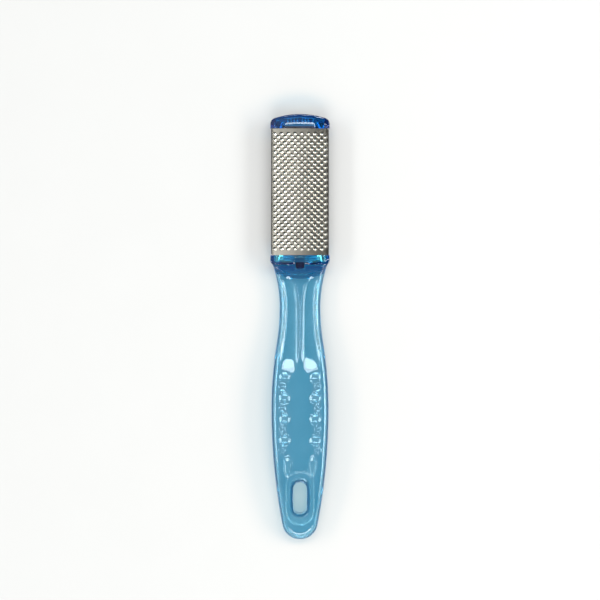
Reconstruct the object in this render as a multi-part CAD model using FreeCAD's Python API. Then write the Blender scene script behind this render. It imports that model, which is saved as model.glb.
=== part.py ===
import FreeCAD, Part
import math
import os

# A foot file, in millimetres: a hollow see-through handle whose head is a shavings tray,
# a lid hinged at the tip that carries an arched steel rasp, and a sprung latch that holds it shut.
# X runs across the tool, +Y along it to the tip and +Z up to the rasp. It lies on its back at z = 0.

# Whole tool
overall_length = 212.6
seam_height = 4.5
shell_wall = 1.6
overrun = 3.0
touch = 0.001

# Lid that carries the rasp
head_width = 29.5
lid_length = 75.2
cap_length = 7.1
bar_length = 4.85
tip_crown_radius = 43.5
tip_corner_radius = 2.8
bar_corner_radius = 2.2
lid_wall = 1.4
skin_thickness = 1.2
skin_rise = 0.2
skin_edge_radius = 0.6
rail_width = 1.6
rail_gap = 0.25
lid_gap = 0.3

# Steel rasp plate
plate_crown = 12.0
arch_radius = 58.0
sheet_thickness = 0.5
plate_inset = 0.375
bend_radius = 0.6
flank_clearance = 1.8
seat_play = 0.05
tab_width = 4.0
tab_length = 3.0
tab_inset = 1.75
tab_play = 0.15

# Rasp teeth
tooth_columns = 8
tooth_rows = 39
tooth_margin = 1.5125
first_row_drop = 2.75
last_row_rise = 3.12
tooth_foot = 2.0
tooth_tip = 1.0
tooth_height = 0.65
tooth_hole = 0.64

# Hinge at the tip
hinge_setback = 5.0
ground_gap = 0.3
nose_gap = 0.3
nose_lip = 0.4
tray_end_setback = 3.5
ear_radius = 1.6
ear_width = 4.2
ear_side_gap = 0.35
pin_diameter = 1.6
pin_play = 0.05
pin_recess = 0.15

# Latch in the cross bar
latch_width = 4.5
latch_gap = 0.35
latch_root_setback = 1.25
latch_reach = 1.85
pad_length = 3.2
pad_corner_radius = 1.0
latch_foot_gap = 0.6
hook_length = 0.8
hook_height = 0.8
catch_gap = 0.1
groove_count = 2
groove_width = 0.7
groove_depth = 0.35
groove_pitch = 1.5

# Shavings tray and collar at the top of the neck
tray_inset = 0.55
collar_length = 4.8
collar_radius = 23.5
collar_height = 10.4

# Handle outline, seen from above
shoulder_inset = 1.2
neck_width = 20.4
neck_drop = 21.1
neck_lower_radius = 115.0
grip_width = 28.5
grip_drop = 51.0
tail_radius = 8.9

# Handle profile, seen from the side
neck_height = 8.8
dip_drop = 13.0
dip_radius = 140.0
grip_height = 13.5
crown_drop = 66.0
tail_height = 8.5
front_edge_radius = 3.5
back_edge_radius = 2.5
edge_limit_share = 0.85

# Lip that locates the two shells
lip_width = 0.8
lip_depth = 1.2
lip_root = 0.7
lip_gap = 0.1

# Flutes in the neck
flute_top_drop = 5.9
flute_gap = 1.1
flute_width = 7.6
flute_depth = 1.5
flute_offset = 5.3

# Finger dimples, nubs and teardrops on the grip
dimple_count = 4
dimple_drop_share = 0.4054
dimple_diameter = 5.4
dimple_depth = 0.8
dimple_clearance = 0.3
nub_diameter = 3.4
nub_height = 0.6
nub_clearance = 0.15
tear_setback_share = 0.2693
tear_gap = 0.425
tear_length = 12.0
tear_width = 4.8
tear_depth = 0.8
tear_offset = 6.0

# Hang slot near the tail
slot_setback_share = 0.1536
slot_width = 6.9
slot_length = 16.3
rim_wall = 1.6
dish_width = 13.7
dish_length = 26.8
dish_depth = 0.6

# Places along the length
tip_y = overall_length / 2
tail_y = -tip_y
lid_end_y = tip_y - lid_length
cap_edge_y = tip_y - cap_length
bar_edge_y = lid_end_y + bar_length
hinge_y = tip_y - hinge_setback
collar_end_y = lid_end_y - lid_gap
collar_center_y = lid_end_y - collar_length + collar_radius
neck_y = lid_end_y - neck_drop
grip_y = neck_y - grip_drop
dip_y = lid_end_y - dip_drop
crown_y = dip_y - crown_drop
handle_length = overall_length - lid_length
slot_y = tail_y + slot_setback_share * handle_length
tear_y = tail_y + tear_setback_share * handle_length
first_dimple_y = lid_end_y - dimple_drop_share * handle_length
last_nub_y = tear_y + (tear_length + nub_diameter) / 2 + tear_gap
nub_drop = (first_dimple_y - last_nub_y) / (2 * dimple_count - 1)
flute_top_y = lid_end_y - flute_top_drop
flute_low_y = first_dimple_y + dimple_diameter / 2 + flute_gap

# Half widths
head_half = head_width / 2
plate_half = head_half - plate_inset
tray_half = head_half - tray_inset
shoulder_half = head_half - shoulder_inset
neck_half = neck_width / 2
grip_half = grip_width / 2
latch_half = latch_width / 2
rail_outer = plate_half - sheet_thickness - rail_gap
rail_inner = rail_outer - rail_width
ear_outer = rail_inner - ear_side_gap
ear_inner = ear_outer - ear_width
tab_outer = plate_half - tab_inset
tab_inner = tab_outer - tab_width

# Spacing of the teeth, whose rows shift by half a pitch
tooth_shift_share = 0.25
tooth_pitch = 2 * (plate_half - tooth_margin) / (tooth_columns - 1 + 2 * tooth_shift_share)
row_pitch = (cap_edge_y - bar_edge_y - first_row_drop - last_row_rise) / (tooth_rows - 1)

# Heights and arch radii of the lid
hinge_height = hinge_setback + ground_gap
arch_center = plate_crown - arch_radius
skin_outer = arch_radius + skin_rise
skin_inner = skin_outer - skin_thickness
tab_top = skin_inner - seat_play
tab_under = tab_top - sheet_thickness
seat_radius = arch_radius - sheet_thickness - seat_play
skin_crown = plate_crown + skin_rise
lid_top = skin_crown + overrun
flank_foot = seam_height + flank_clearance
nose_clear = hinge_setback + nose_gap
pin_radius = pin_diameter / 2
tray_wall_y = hinge_y - nose_clear - shell_wall

# Latch places
root_radius = skin_thickness / 2
pivot_y = bar_edge_y - latch_root_setback
pivot_z = skin_crown - root_radius
pad_end_y = lid_end_y - latch_reach
latch_foot = seam_height + latch_foot_gap
hook_top = latch_foot + hook_height

# Arcs of the handle outline, each tangent to the next
neck_reach = collar_end_y - neck_y
neck_rise = shoulder_half - neck_half
neck_upper_radius = (neck_reach**2 + neck_rise**2) / (2 * neck_rise)
grip_swell = grip_half - neck_half
grip_upper_radius = (grip_drop**2 + grip_swell**2) / (2 * grip_swell) - neck_lower_radius
sway_y = neck_y - grip_drop * neck_lower_radius / (neck_lower_radius + grip_upper_radius)
tail_reach = grip_y - tail_y
grip_lower_radius = (tail_reach**2 - 2 * tail_reach * tail_radius + grip_half**2) / (
    2 * (grip_half - tail_radius)
)

# Arcs of the handle profile, each tangent to the next
crown_rise = grip_height - neck_height
crown_upper_radius = (crown_drop**2 + crown_rise**2) / (2 * crown_rise) - dip_radius
crown_reach = crown_y - tail_y
crown_fall = grip_height - tail_height
crown_lower_radius = (crown_reach**2 + crown_fall**2) / (2 * crown_fall)
profile_tangent_y = dip_y - crown_drop * dip_radius / (dip_radius + crown_upper_radius)
front_round = min(front_edge_radius, edge_limit_share * (neck_height - seam_height))
back_round = min(back_edge_radius, edge_limit_share * seam_height)

along_x = FreeCAD.Vector(1, 0, 0)
along_y = FreeCAD.Vector(0, 1, 0)
along_z = FreeCAD.Vector(0, 0, 1)
origin = FreeCAD.Vector(0, 0, 0)
quarter_turn = 90


def point(x, y, z):
    return FreeCAD.Vector(x, y, z)


def box(x0, x1, y0, y1, z0, z1):
    return Part.makeBox(x1 - x0, y1 - y0, z1 - z0, point(x0, y0, z0))


def rod_x(x0, x1, y, z, radius):
    return Part.makeCylinder(radius, x1 - x0, point(x0, y, z), along_x)


def arch(y0, y1, radius):
    return Part.makeCylinder(radius, y1 - y0, point(0, y0, arch_center), along_y)


def post(x, y, z0, z1, radius):
    return Part.makeCylinder(radius, z1 - z0, point(x, y, z0), along_z)


def ball(center, radius, turn):
    """Ball with its poles across the tool and its seam at the foot, or at the top for a turn back."""
    shape = Part.makeSphere(radius)
    shape.rotate(origin, along_y, turn)
    shape.translate(center)
    return shape


def mirrored(shape):
    return shape.mirror(origin, along_x)


def both_sides(shape):
    return [shape, mirrored(shape)]


def line(a, b):
    return Part.LineSegment(a, b).toShape()


def arc(a, middle, b):
    return Part.Arc(a, middle, b).toShape()


def arc_about(center, radius, a, b):
    """Shorter arc from a to b about a center."""
    outward = ((a + b) * 0.5 - center).normalize()
    return arc(a, center + outward * radius, b)


def toward(a, b, distance):
    return a + (b - a).normalize() * distance


def face_of(edges):
    return Part.Face(Part.Wire(Part.sortEdges(edges)[0]))


def prism(edges, z0, z1):
    face = face_of(edges)
    face.translate(along_z * z0)
    return face.extrude(along_z * (z1 - z0))


def cap_radius(width, depth):
    """Radius of the circle that a chord of this width cuts to this depth."""
    return (width**2 / 4 + depth**2) / (2 * depth)


def rounded(solid, radius, edges):
    return solid.makeFillet(radius, edges)


def rim_edges(solid, above):
    """Edges along the tool whose lowest point is higher than a level."""
    return [e for e in solid.Edges if e.BoundBox.ZMin > above + touch and e.BoundBox.YLength > touch]


def base_edges(solid, level, end_y):
    """Edges that lie at a level, apart from one straight across at end_y."""
    low = [e for e in solid.Edges if e.BoundBox.ZMax < level + touch]
    return [e for e in low if e.BoundBox.YMin < end_y - touch]


def upright_edges(solid, y):
    """Upright corner edges at one place along the tool."""
    straight = [e for e in solid.Edges if e.BoundBox.XLength < touch and e.BoundBox.YLength < touch]
    return [e for e in straight if abs(e.BoundBox.YMin - y) < touch]


def obround(width, length, y, z0, z1):
    """Upright slot shape with round ends."""
    half = width / 2
    straight = (length - width) / 2
    right_top = point(half, y + straight, 0)
    right_low = point(half, y - straight, 0)
    left_top = point(-half, y + straight, 0)
    left_low = point(-half, y - straight, 0)
    edges = [
        line(right_low, right_top),
        arc(right_top, point(0, y + straight + half, 0), left_top),
        line(left_top, left_low),
        arc(left_low, point(0, y - straight - half, 0), right_low),
    ]
    return prism(edges, z0, z1)


def handle_outline(inset, top_y=collar_end_y):
    """Closed outline of the handle up to top_y, set in from its edge."""
    upper_neck = point(neck_half + neck_upper_radius, neck_y, 0)
    lower_neck = point(neck_half + neck_lower_radius, neck_y, 0)
    upper_grip = point(grip_half - grip_upper_radius, grip_y, 0)
    lower_grip = point(grip_half - grip_lower_radius, grip_y, 0)
    tail_center = point(0, tail_y + tail_radius, 0)
    shoulder_x = upper_neck.x - math.sqrt((neck_upper_radius + inset) ** 2 - (top_y - neck_y) ** 2)
    shoulder = point(shoulder_x, top_y, 0)
    neck = point(neck_half - inset, neck_y, 0)
    sway = toward(lower_neck, upper_grip, neck_lower_radius + inset)
    grip = point(grip_half - inset, grip_y, 0)
    heel = toward(lower_grip, tail_center, grip_lower_radius - inset)
    right = [
        arc_about(upper_neck, neck_upper_radius + inset, shoulder, neck),
        arc_about(lower_neck, neck_lower_radius + inset, neck, sway),
        arc_about(upper_grip, grip_upper_radius - inset, sway, grip),
        arc_about(lower_grip, grip_lower_radius - inset, grip, heel),
    ]
    left = [mirrored(edge) for edge in right]
    tail = arc(heel, point(0, tail_y + inset, 0), point(-heel.x, heel.y, 0))
    top = line(point(-shoulder_x, top_y, 0), shoulder)
    return right + left + [tail, top]


def profile_height(y, inset):
    """Height of the handle's front face at one place along it, less an inset."""
    if y > profile_tangent_y:
        radius = dip_radius + inset
        return neck_height + dip_radius - math.sqrt(radius**2 - (y - dip_y) ** 2)
    full = crown_upper_radius if y > crown_y else crown_lower_radius
    radius = full - inset
    return grip_height - full + math.sqrt(radius**2 - (y - crown_y) ** 2)


def under_profile(inset, bottom):
    """Block across the tool that fills everything under the handle's front face."""
    x = -head_half - overrun
    tail_end = tail_y - touch

    def on_face(y):
        return point(x, y, profile_height(y, inset))

    upper = on_face(lid_end_y)
    tangent = on_face(profile_tangent_y)
    crown = on_face(crown_y)
    lower = on_face(tail_end)
    dip_center = point(x, dip_y, neck_height + dip_radius)
    upper_center = point(x, crown_y, grip_height - crown_upper_radius)
    lower_center = point(x, crown_y, grip_height - crown_lower_radius)
    foot_upper = point(x, lid_end_y, bottom)
    foot_lower = point(x, tail_end, bottom)
    edges = [
        arc_about(dip_center, dip_radius + inset, upper, tangent),
        arc_about(upper_center, crown_upper_radius - inset, tangent, crown),
        arc_about(lower_center, crown_lower_radius - inset, crown, lower),
        line(lower, foot_lower),
        line(foot_lower, foot_upper),
        line(foot_upper, upper),
    ]
    return face_of(edges).extrude(along_x * (-2 * x))


def collar_round(extra, z0, z1):
    """Upright round that bounds the collar and the tray at the neck."""
    return post(0, collar_center_y, z0, z1, collar_radius + extra)


def flute_ring(extra):
    """Ring whose lowest arc sinks a flute into the neck, fattened by an extra wall."""
    mid_y = (flute_top_y + flute_low_y) / 2
    top = point(flute_offset, flute_top_y, profile_height(flute_top_y, 0))
    middle = point(flute_offset, mid_y, profile_height(mid_y, 0) - flute_depth)
    low = point(flute_offset, flute_low_y, profile_height(flute_low_y, 0))
    circle = Part.Arc(top, middle, low).toShape().Curve
    minor = cap_radius(flute_width, flute_depth)
    return Part.makeTorus(circle.Radius - minor, minor + extra, circle.Center, along_x)


def tear_ring():
    """Ring whose lowest arc sinks a long narrow dimple beside the hang slot."""
    long_radius = cap_radius(tear_length, tear_depth)
    minor = cap_radius(tear_width, tear_depth)
    top = profile_height(tear_y, 0) - tear_depth + long_radius
    return Part.makeTorus(long_radius - minor, minor, point(tear_offset, tear_y, top), along_x)


def edge_half(y):
    """Half width of the handle at one place along its neck or grip."""
    if y > neck_y:
        return neck_half + neck_upper_radius - math.sqrt(neck_upper_radius**2 - (y - neck_y) ** 2)
    if y > sway_y:
        return neck_half + neck_lower_radius - math.sqrt(neck_lower_radius**2 - (y - neck_y) ** 2)
    radius = grip_upper_radius if y > grip_y else grip_lower_radius
    return grip_half - radius + math.sqrt(radius**2 - (y - grip_y) ** 2)


def beside_edge(y, diameter, clearance):
    """Place across where a round mark keeps its clearance from the rounded edge."""
    return edge_half(y) - front_round - diameter / 2 - clearance


def dimple_places():
    return [first_dimple_y - 2 * nub_drop * i for i in range(dimple_count)]


def grip_dimples():
    radius = cap_radius(dimple_diameter, dimple_depth)
    balls = []
    for y in dimple_places():
        x = beside_edge(y, dimple_diameter, dimple_clearance)
        center = point(x, y, profile_height(y, 0) - dimple_depth + radius)
        balls += both_sides(ball(center, radius, -quarter_turn))
    return balls


def grip_nubs():
    radius = cap_radius(nub_diameter, nub_height)
    balls = []
    for dimple_y in dimple_places():
        y = dimple_y - nub_drop
        x = beside_edge(y, nub_diameter, nub_clearance)
        center = point(x, y, profile_height(y, 0) + nub_height - radius)
        balls += both_sides(ball(center, radius, quarter_turn))
    return balls


def slot_dish():
    """Shallow dish around the raised rim of the hang slot."""
    top = grip_height + overrun
    outer = obround(dish_width, dish_length, slot_y, seam_height, top)
    rim = obround(slot_width + 2 * rim_wall, slot_length + 2 * rim_wall, slot_y, seam_height, top)
    return outer.cut([rim, under_profile(dish_depth, 0)])


def slot_hole():
    return obround(slot_width, slot_length, slot_y, -overrun, grip_height + overrun)


def slot_boss(z0, z1):
    return obround(slot_width + 2 * rim_wall, slot_length + 2 * rim_wall, slot_y, z0, z1)


def latch_notch():
    """Room in the collar for the latch, with the ledge that its hook catches."""
    half = latch_half + latch_gap
    wall_y = pad_end_y - latch_gap
    open_y = collar_end_y + overrun
    hook_y = wall_y - hook_length
    shaft = box(-half, half, wall_y, open_y, seam_height - overrun, collar_height + overrun)
    undercut = box(-half, half, hook_y, open_y, seam_height - overrun, hook_top + catch_gap)
    return [shaft, undercut]


def front_outer():
    """Outside of the front shell with its collar, flutes, dimples and nubs."""
    body = prism(handle_outline(0), seam_height, grip_height + overrun)
    body = body.common(under_profile(0, 0))
    body = rounded(body, front_round, rim_edges(body, seam_height))
    collar = prism(handle_outline(0), seam_height, collar_height)
    collar = rounded(collar, front_round, rim_edges(collar, seam_height))
    collar = collar.common(collar_round(0, 0, collar_height + overrun))
    sunk = both_sides(flute_ring(0)) + both_sides(tear_ring()) + grip_dimples() + [slot_dish()]
    return body.cut(sunk).fuse([collar] + grip_nubs())


def front_hollow():
    """Inside of the front shell, kept a wall away from everything sunk into it."""
    top = grip_height + overrun
    room = prism(handle_outline(shell_wall), seam_height - overrun, top)
    room = room.common(under_profile(shell_wall, -overrun))
    inner_round = max(front_round - shell_wall, touch)
    room = rounded(room, inner_round, rim_edges(room, seam_height))
    kept = both_sides(flute_ring(shell_wall))
    kept += [collar_round(shell_wall, -overrun, top), slot_boss(-overrun, top)]
    return room.cut(kept)


def shell_lip():
    """Lip under the front shell that drops inside the back shell's wall."""
    outer = shell_wall + lip_gap
    low = prism(handle_outline(outer), seam_height - lip_depth, seam_height)
    root = prism(handle_outline(shell_wall / 2), seam_height, seam_height + lip_root)
    inside = prism(handle_outline(outer + lip_width), 0, seam_height + lip_root + overrun)
    neck_end = collar_round(shell_wall + lip_gap, 0, seam_height + lip_root + overrun)
    return low.fuse(root).cut([inside, neck_end])


def make_front_shell():
    shell = front_outer().cut([front_hollow()] + latch_notch())
    return shell.fuse(shell_lip()).cut(slot_hole()).removeSplitter()


def back_outer():
    """Outside of the back shell: the handle, whose neck runs into the tray."""
    neck_end_y = lid_end_y + shell_wall / 2
    handle = prism(handle_outline(0, neck_end_y), 0, seam_height)
    handle = rounded(handle, back_round, base_edges(handle, 0, neck_end_y))
    tray = box(-tray_half, tray_half, lid_end_y, tip_y, 0, seam_height)
    tray = rounded(tray, bar_corner_radius, upright_edges(tray, lid_end_y))
    tray = rounded(tray, back_round, base_edges(tray, 0, tip_y))
    return handle.fuse(tray)


def tray_room():
    """Shavings room, from the wall at the hinge to the round wall at the neck."""
    top = seam_height + overrun
    inner = tray_half - shell_wall
    head = box(-inner, inner, lid_end_y + shell_wall, tray_wall_y, shell_wall, top)
    neck = prism(handle_outline(shell_wall, lid_end_y + 2 * shell_wall), shell_wall, top)
    neck = neck.common(collar_round(0, 0, top)).common(box(-inner, inner, tail_y, tip_y, 0, top))
    return head.fuse(neck)


def handle_room():
    """Hollow of the back shell's handle, behind the round wall at the neck."""
    top = seam_height + overrun
    room = prism(handle_outline(shell_wall), shell_wall, top)
    inner_round = max(back_round - shell_wall, touch)
    room = rounded(room, inner_round, base_edges(room, shell_wall, collar_end_y))
    return room.cut([collar_round(shell_wall, 0, top), slot_boss(0, top)])


def hinge_ear():
    """Ear that carries one hinge pin, with a gusset down to the tray's end wall."""
    foot = point(ear_inner, tray_wall_y, shell_wall)
    head = point(ear_inner, tray_wall_y, seam_height)
    eye_top = point(ear_inner, hinge_y, hinge_height)
    eye_foot = point(ear_inner, hinge_y, hinge_height - ear_radius)
    corners = [foot, head, eye_top, eye_foot]
    edges = [line(corners[i - 1], corners[i]) for i in range(len(corners))]
    arm = face_of(edges).extrude(along_x * ear_width)
    return arm.fuse(rod_x(ear_inner, ear_outer, hinge_y, hinge_height, ear_radius))


def make_back_shell():
    shell = back_outer().cut([tray_room(), handle_room(), slot_hole()])
    nose = rod_x(-head_half - overrun, head_half + overrun, hinge_y, hinge_height, nose_clear)
    beyond = box(-head_half, head_half, hinge_y - tray_end_setback, tip_y + overrun, -overrun, lid_top)
    shell = shell.cut([nose, beyond]).fuse(both_sides(hinge_ear()))
    bore = rod_x(-head_half, head_half, hinge_y, hinge_height, pin_radius + pin_play)
    return shell.cut(bore).removeSplitter()


def lid_plan():
    """Outline of the lid from above, with a crowned tip; its corners are rounded later."""
    rise = tip_crown_radius - math.sqrt(tip_crown_radius**2 - head_half**2)
    low_left = point(-head_half, lid_end_y, 0)
    low_right = point(head_half, lid_end_y, 0)
    top_right = point(head_half, tip_y - rise, 0)
    top_left = point(-head_half, tip_y - rise, 0)
    return [
        line(low_left, low_right),
        line(low_right, top_right),
        arc(top_right, point(0, tip_y, 0), top_left),
        line(top_left, low_left),
    ], top_right.y


def above_seam():
    """Block across the tool that holds what is above the seam and the round nose at the hinge."""
    x = -head_half - overrun
    seat_y = hinge_y - math.sqrt(hinge_setback**2 - (seam_height - hinge_height) ** 2)
    start = point(x, lid_end_y - overrun, seam_height)
    seat = point(x, seat_y, seam_height)
    nose_low = point(x, hinge_y, hinge_height - hinge_setback)
    nose_tip = point(x, tip_y, hinge_height)
    top_tip = point(x, tip_y, lid_top)
    top_start = point(x, lid_end_y - overrun, lid_top)
    edges = [
        line(start, seat),
        arc(seat, nose_low, nose_tip),
        line(nose_tip, top_tip),
        line(top_tip, top_start),
        line(top_start, start),
    ]
    return face_of(edges).extrude(along_x * (-2 * x))


def lid_block():
    """Whole outside of the lid with its top edge broken, before it is hollowed."""
    plan, corner_y = lid_plan()
    block = prism(plan, 0, lid_top)
    block = rounded(block, tip_corner_radius, upright_edges(block, corner_y))
    block = rounded(block, bar_corner_radius, upright_edges(block, lid_end_y))
    block = block.common(arch(lid_end_y - overrun, tip_y + overrun, skin_outer))
    top = [e for e in block.Edges if e.BoundBox.ZMin > seam_height + touch]
    return rounded(block, skin_edge_radius, top).common(above_seam())


def under_skin(half, y0, y1, z0):
    """Room under the lid's arched skin."""
    return box(-half, half, y0, y1, z0, lid_top).common(arch(y0 - overrun, y1 + overrun, skin_inner))


def cap_room():
    """Room inside the tip cap, which follows its crowned end wall."""
    web_y = cap_edge_y + lid_wall
    eye_clear = hinge_height + ear_radius + nose_gap
    tall = under_skin(rail_inner, web_y, tip_y, -overrun)
    low = box(-rail_inner, rail_inner, cap_edge_y, tip_y, -overrun, eye_clear)
    bound = post(0, tip_y - tip_crown_radius, -overrun, lid_top, tip_crown_radius - lid_wall)
    lip = box(-rail_inner, rail_inner, hinge_y, tip_y + overrun, -overrun, hinge_height + nose_lip)
    return tall.fuse(low).common(bound).fuse(lip)


def plate_window():
    """What the plate takes away from the lid between the cap and the bar."""
    wide = head_half + overrun
    above = box(-wide, wide, bar_edge_y, cap_edge_y, seam_height - overrun, lid_top)
    seat = arch(bar_edge_y - overrun, cap_edge_y + overrun, seat_radius)
    through = box(-rail_inner, rail_inner, bar_edge_y, cap_edge_y, -overrun, lid_top)
    flank = box(rail_outer, wide, bar_edge_y, cap_edge_y, -overrun, lid_top)
    return [above.cut(seat), through] + both_sides(flank)


def tab_pockets():
    """Gaps under the skin at the four corners that hold the plate's tabs."""
    layer_low = arch(lid_end_y - overrun, tip_y + overrun, tab_under - seat_play)
    leg = sheet_thickness + 2 * seat_play
    depth = tab_length + tab_play
    pockets = []
    for edge_y, outward in [(bar_edge_y, -1), (cap_edge_y, 1)]:
        low, high = sorted([edge_y - outward * leg, edge_y + outward * depth])
        leg_low, leg_high = sorted([edge_y - outward * leg, edge_y])
        slab = box(tab_inner - tab_play, tab_outer + tab_play, low, high, seam_height, lid_top)
        slab = slab.cut(layer_low)
        under = slab.common(arch(low - overrun, high + overrun, skin_inner))
        beside = slab.common(box(0, head_half, leg_low, leg_high, seam_height, lid_top))
        pockets += both_sides(under.fuse(beside))
    return pockets


def latch_slot():
    """Slot through the bar for the latch, with a round seat for its root."""
    half = latch_half + latch_gap
    slot = box(-half, half, lid_end_y - overrun, pivot_y, seam_height - overrun, lid_top)
    return slot.fuse(rod_x(-half, half, pivot_y, pivot_z, root_radius + seat_play))


def make_rasp_frame():
    room = under_skin(rail_inner, lid_end_y + lid_wall, cap_edge_y, -overrun)
    bore = rod_x(-head_half - overrun, head_half + overrun, hinge_y, hinge_height, pin_radius)
    cuts = [room, cap_room(), latch_slot(), bore] + plate_window() + tab_pockets()
    return lid_block().cut(cuts).removeSplitter()


def sheet_shell():
    """Arched sheet with its two sides turned down."""
    y0 = bar_edge_y + seat_play
    y1 = cap_edge_y - seat_play
    outer = box(-plate_half, plate_half, y0, y1, flank_foot, lid_top).common(arch(y0, y1, arch_radius))
    bends = [e for e in rim_edges(outer, flank_foot) if e.BoundBox.XLength < touch]
    outer = rounded(outer, bend_radius, bends)
    inner_half = plate_half - sheet_thickness
    inner = box(-inner_half, inner_half, y0 - overrun, y1 + overrun, flank_foot - overrun, lid_top)
    return outer.cut(inner.common(arch(y0 - overrun, y1 + overrun, arch_radius - sheet_thickness)))


def plate_tabs():
    """Four corner tabs, each stepped down from the sheet's end to lie under the lid's skin."""
    y0 = bar_edge_y + seat_play
    y1 = cap_edge_y - seat_play
    tabs = []
    for end, outward in [(y0, -1), (y1, 1)]:
        far = end + outward * tab_length
        near = end - outward * sheet_thickness
        low, high = sorted([near, far])
        leg_low, leg_high = sorted([near, end])
        under = arch(low - overrun, high + overrun, tab_under)
        tab = box(tab_inner, tab_outer, low, high, seam_height, lid_top)
        tab = tab.common(arch(low - overrun, high + overrun, tab_top)).cut(under)
        leg = box(tab_inner, tab_outer, leg_low, leg_high, seam_height, lid_top)
        leg = leg.common(arch(low - overrun, high + overrun, arch_radius - sheet_thickness / 2)).cut(under)
        tabs += both_sides(tab.fuse(leg))
    return tabs


def tooth_axes():
    """Foot point and outward direction of every tooth, in rows that shift by half a pitch."""
    axes = []
    for row in range(tooth_rows):
        y = cap_edge_y - first_row_drop - row_pitch * row
        shift = tooth_shift_share * tooth_pitch * (1 if row % 2 else -1)
        for column in range(tooth_columns):
            along = (column - (tooth_columns - 1) / 2) * tooth_pitch + shift
            angle = along / arch_radius
            outward = point(math.sin(angle), 0, math.cos(angle))
            axes.append((point(0, y, arch_center), outward))
    return axes


def make_rasp_plate():
    sheet = sheet_shell().fuse(plate_tabs())
    root = arch_radius - sheet_thickness / 2
    height = sheet_thickness / 2 + tooth_height
    cones = []
    holes = []
    for center, outward in tooth_axes():
        foot = center + outward * root
        cones.append(Part.makeCone(tooth_foot / 2, tooth_tip / 2, height, foot, outward))
        below = center + outward * (arch_radius - sheet_thickness * 2)
        depth = sheet_thickness * 2 + tooth_height + overrun
        holes.append(Part.makeCylinder(tooth_hole / 2, depth, below, outward))
    return sheet.fuse(cones, touch).cut(holes, touch)


def make_release_latch():
    """Tongue with a round root, a deep thumb pad and a hook."""
    low = pivot_z - root_radius
    tongue = box(-latch_half, latch_half, pad_end_y, pivot_y, low, skin_crown)
    root = rod_x(-latch_half, latch_half, pivot_y, pivot_z, root_radius)
    pad = box(-latch_half, latch_half, pad_end_y, pad_end_y + pad_length, latch_foot, skin_crown)
    latch = tongue.fuse([root, pad]).removeSplitter()
    latch = rounded(latch, pad_corner_radius, upright_edges(latch, pad_end_y))
    hook_half = latch_half - pad_corner_radius
    hook_y = pad_end_y - hook_length
    hook = box(-hook_half, hook_half, hook_y, pad_end_y + pad_corner_radius, latch_foot, hook_top)
    first_groove = pad_end_y + pad_length + groove_pitch / 2
    grooves = []
    for i in range(groove_count):
        y = first_groove + groove_pitch * i
        low_y = y - groove_width / 2
        floor = skin_crown - groove_depth
        grooves.append(box(-latch_half, latch_half, low_y, low_y + groove_width, floor, lid_top))
    return latch.fuse(hook).cut(grooves).removeSplitter()


def make_hinge_pins():
    pin = rod_x(ear_inner, head_half - pin_recess, hinge_y, hinge_height, pin_radius)
    return Part.makeCompound(both_sides(pin))


nodes = {
    "back_shell": make_back_shell,
    "front_shell": make_front_shell,
    "rasp_frame": make_rasp_frame,
    "rasp_plate": make_rasp_plate,
    "release_latch": make_release_latch,
    "hinge_pins": make_hinge_pins,
}

os.makedirs("parts", exist_ok=True)
for name, make in nodes.items():
    shape = make()
    print(name, len(shape.Solids), "solids", round(shape.Volume, 1), "cubic mm, valid", shape.isValid())
    shape.exportStep(os.path.join("parts", name + ".step"))
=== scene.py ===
"""Looks of a see-through foot file: a hollow blue handle, a hinged lid and an arched steel rasp.

Sizes are millimetres in the object's own frame: X across, +Y along to the tip, +Z up to the rasp.
Meshes are written in metres.
"""

import logging
import math
from dataclasses import dataclass, field
from enum import Enum
from typing import ClassVar

import bmesh
import bpy
import numpy as np
from bpy.types import Material, Mesh, Node, NodeSocket, NodeTree, Object, World
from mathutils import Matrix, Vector
from mathutils.geometry import delaunay_2d_cdt
from numpy.typing import NDArray


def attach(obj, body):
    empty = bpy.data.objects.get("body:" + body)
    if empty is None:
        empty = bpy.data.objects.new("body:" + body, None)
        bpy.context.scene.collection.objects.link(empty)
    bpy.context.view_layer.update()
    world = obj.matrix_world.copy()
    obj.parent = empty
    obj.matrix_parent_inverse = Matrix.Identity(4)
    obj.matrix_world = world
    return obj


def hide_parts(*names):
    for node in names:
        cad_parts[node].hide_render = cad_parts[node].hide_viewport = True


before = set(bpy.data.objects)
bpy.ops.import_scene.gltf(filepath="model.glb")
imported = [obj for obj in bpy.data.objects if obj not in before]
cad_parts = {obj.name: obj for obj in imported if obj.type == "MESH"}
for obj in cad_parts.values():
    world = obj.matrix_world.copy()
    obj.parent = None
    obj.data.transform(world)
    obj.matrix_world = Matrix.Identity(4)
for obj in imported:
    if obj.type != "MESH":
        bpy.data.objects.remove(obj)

MM = 0.001
WELD_M = 2e-7
LOG = logging.getLogger("foot_file")

Points = NDArray[np.float64]
Faces = NDArray[np.int64]
Colour = tuple[float, float, float]
Place = tuple[float, float, float]
Span = tuple[float, float]

MIRROR = np.array([-1.0, 1.0, 1.0])
PLAN = np.array([1.0, 1.0, 0.0])


class Body(Enum):
    """Bodies of the frame that a piece rides on."""

    HANDLE = "handle"
    LID = "rasp_lid"


class Slot(Enum):
    """Names of material slots."""

    PLASTIC = "clear_blue_plastic"
    RASP = "rasp_steel"
    PINS = "pin_steel"


class Facing(Enum):
    """Which way a patch of faces looks."""

    OUT = 0
    IN = 1


# Small formulas on whole arrays


def ease(x: Points) -> Points:
    """Ease from 0 to 1: three times the square less twice the cube of x, held between 0 and 1."""
    held = np.clip(x, 0.0, 1.0)
    return held * held * (3.0 - 2.0 * held)


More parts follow.
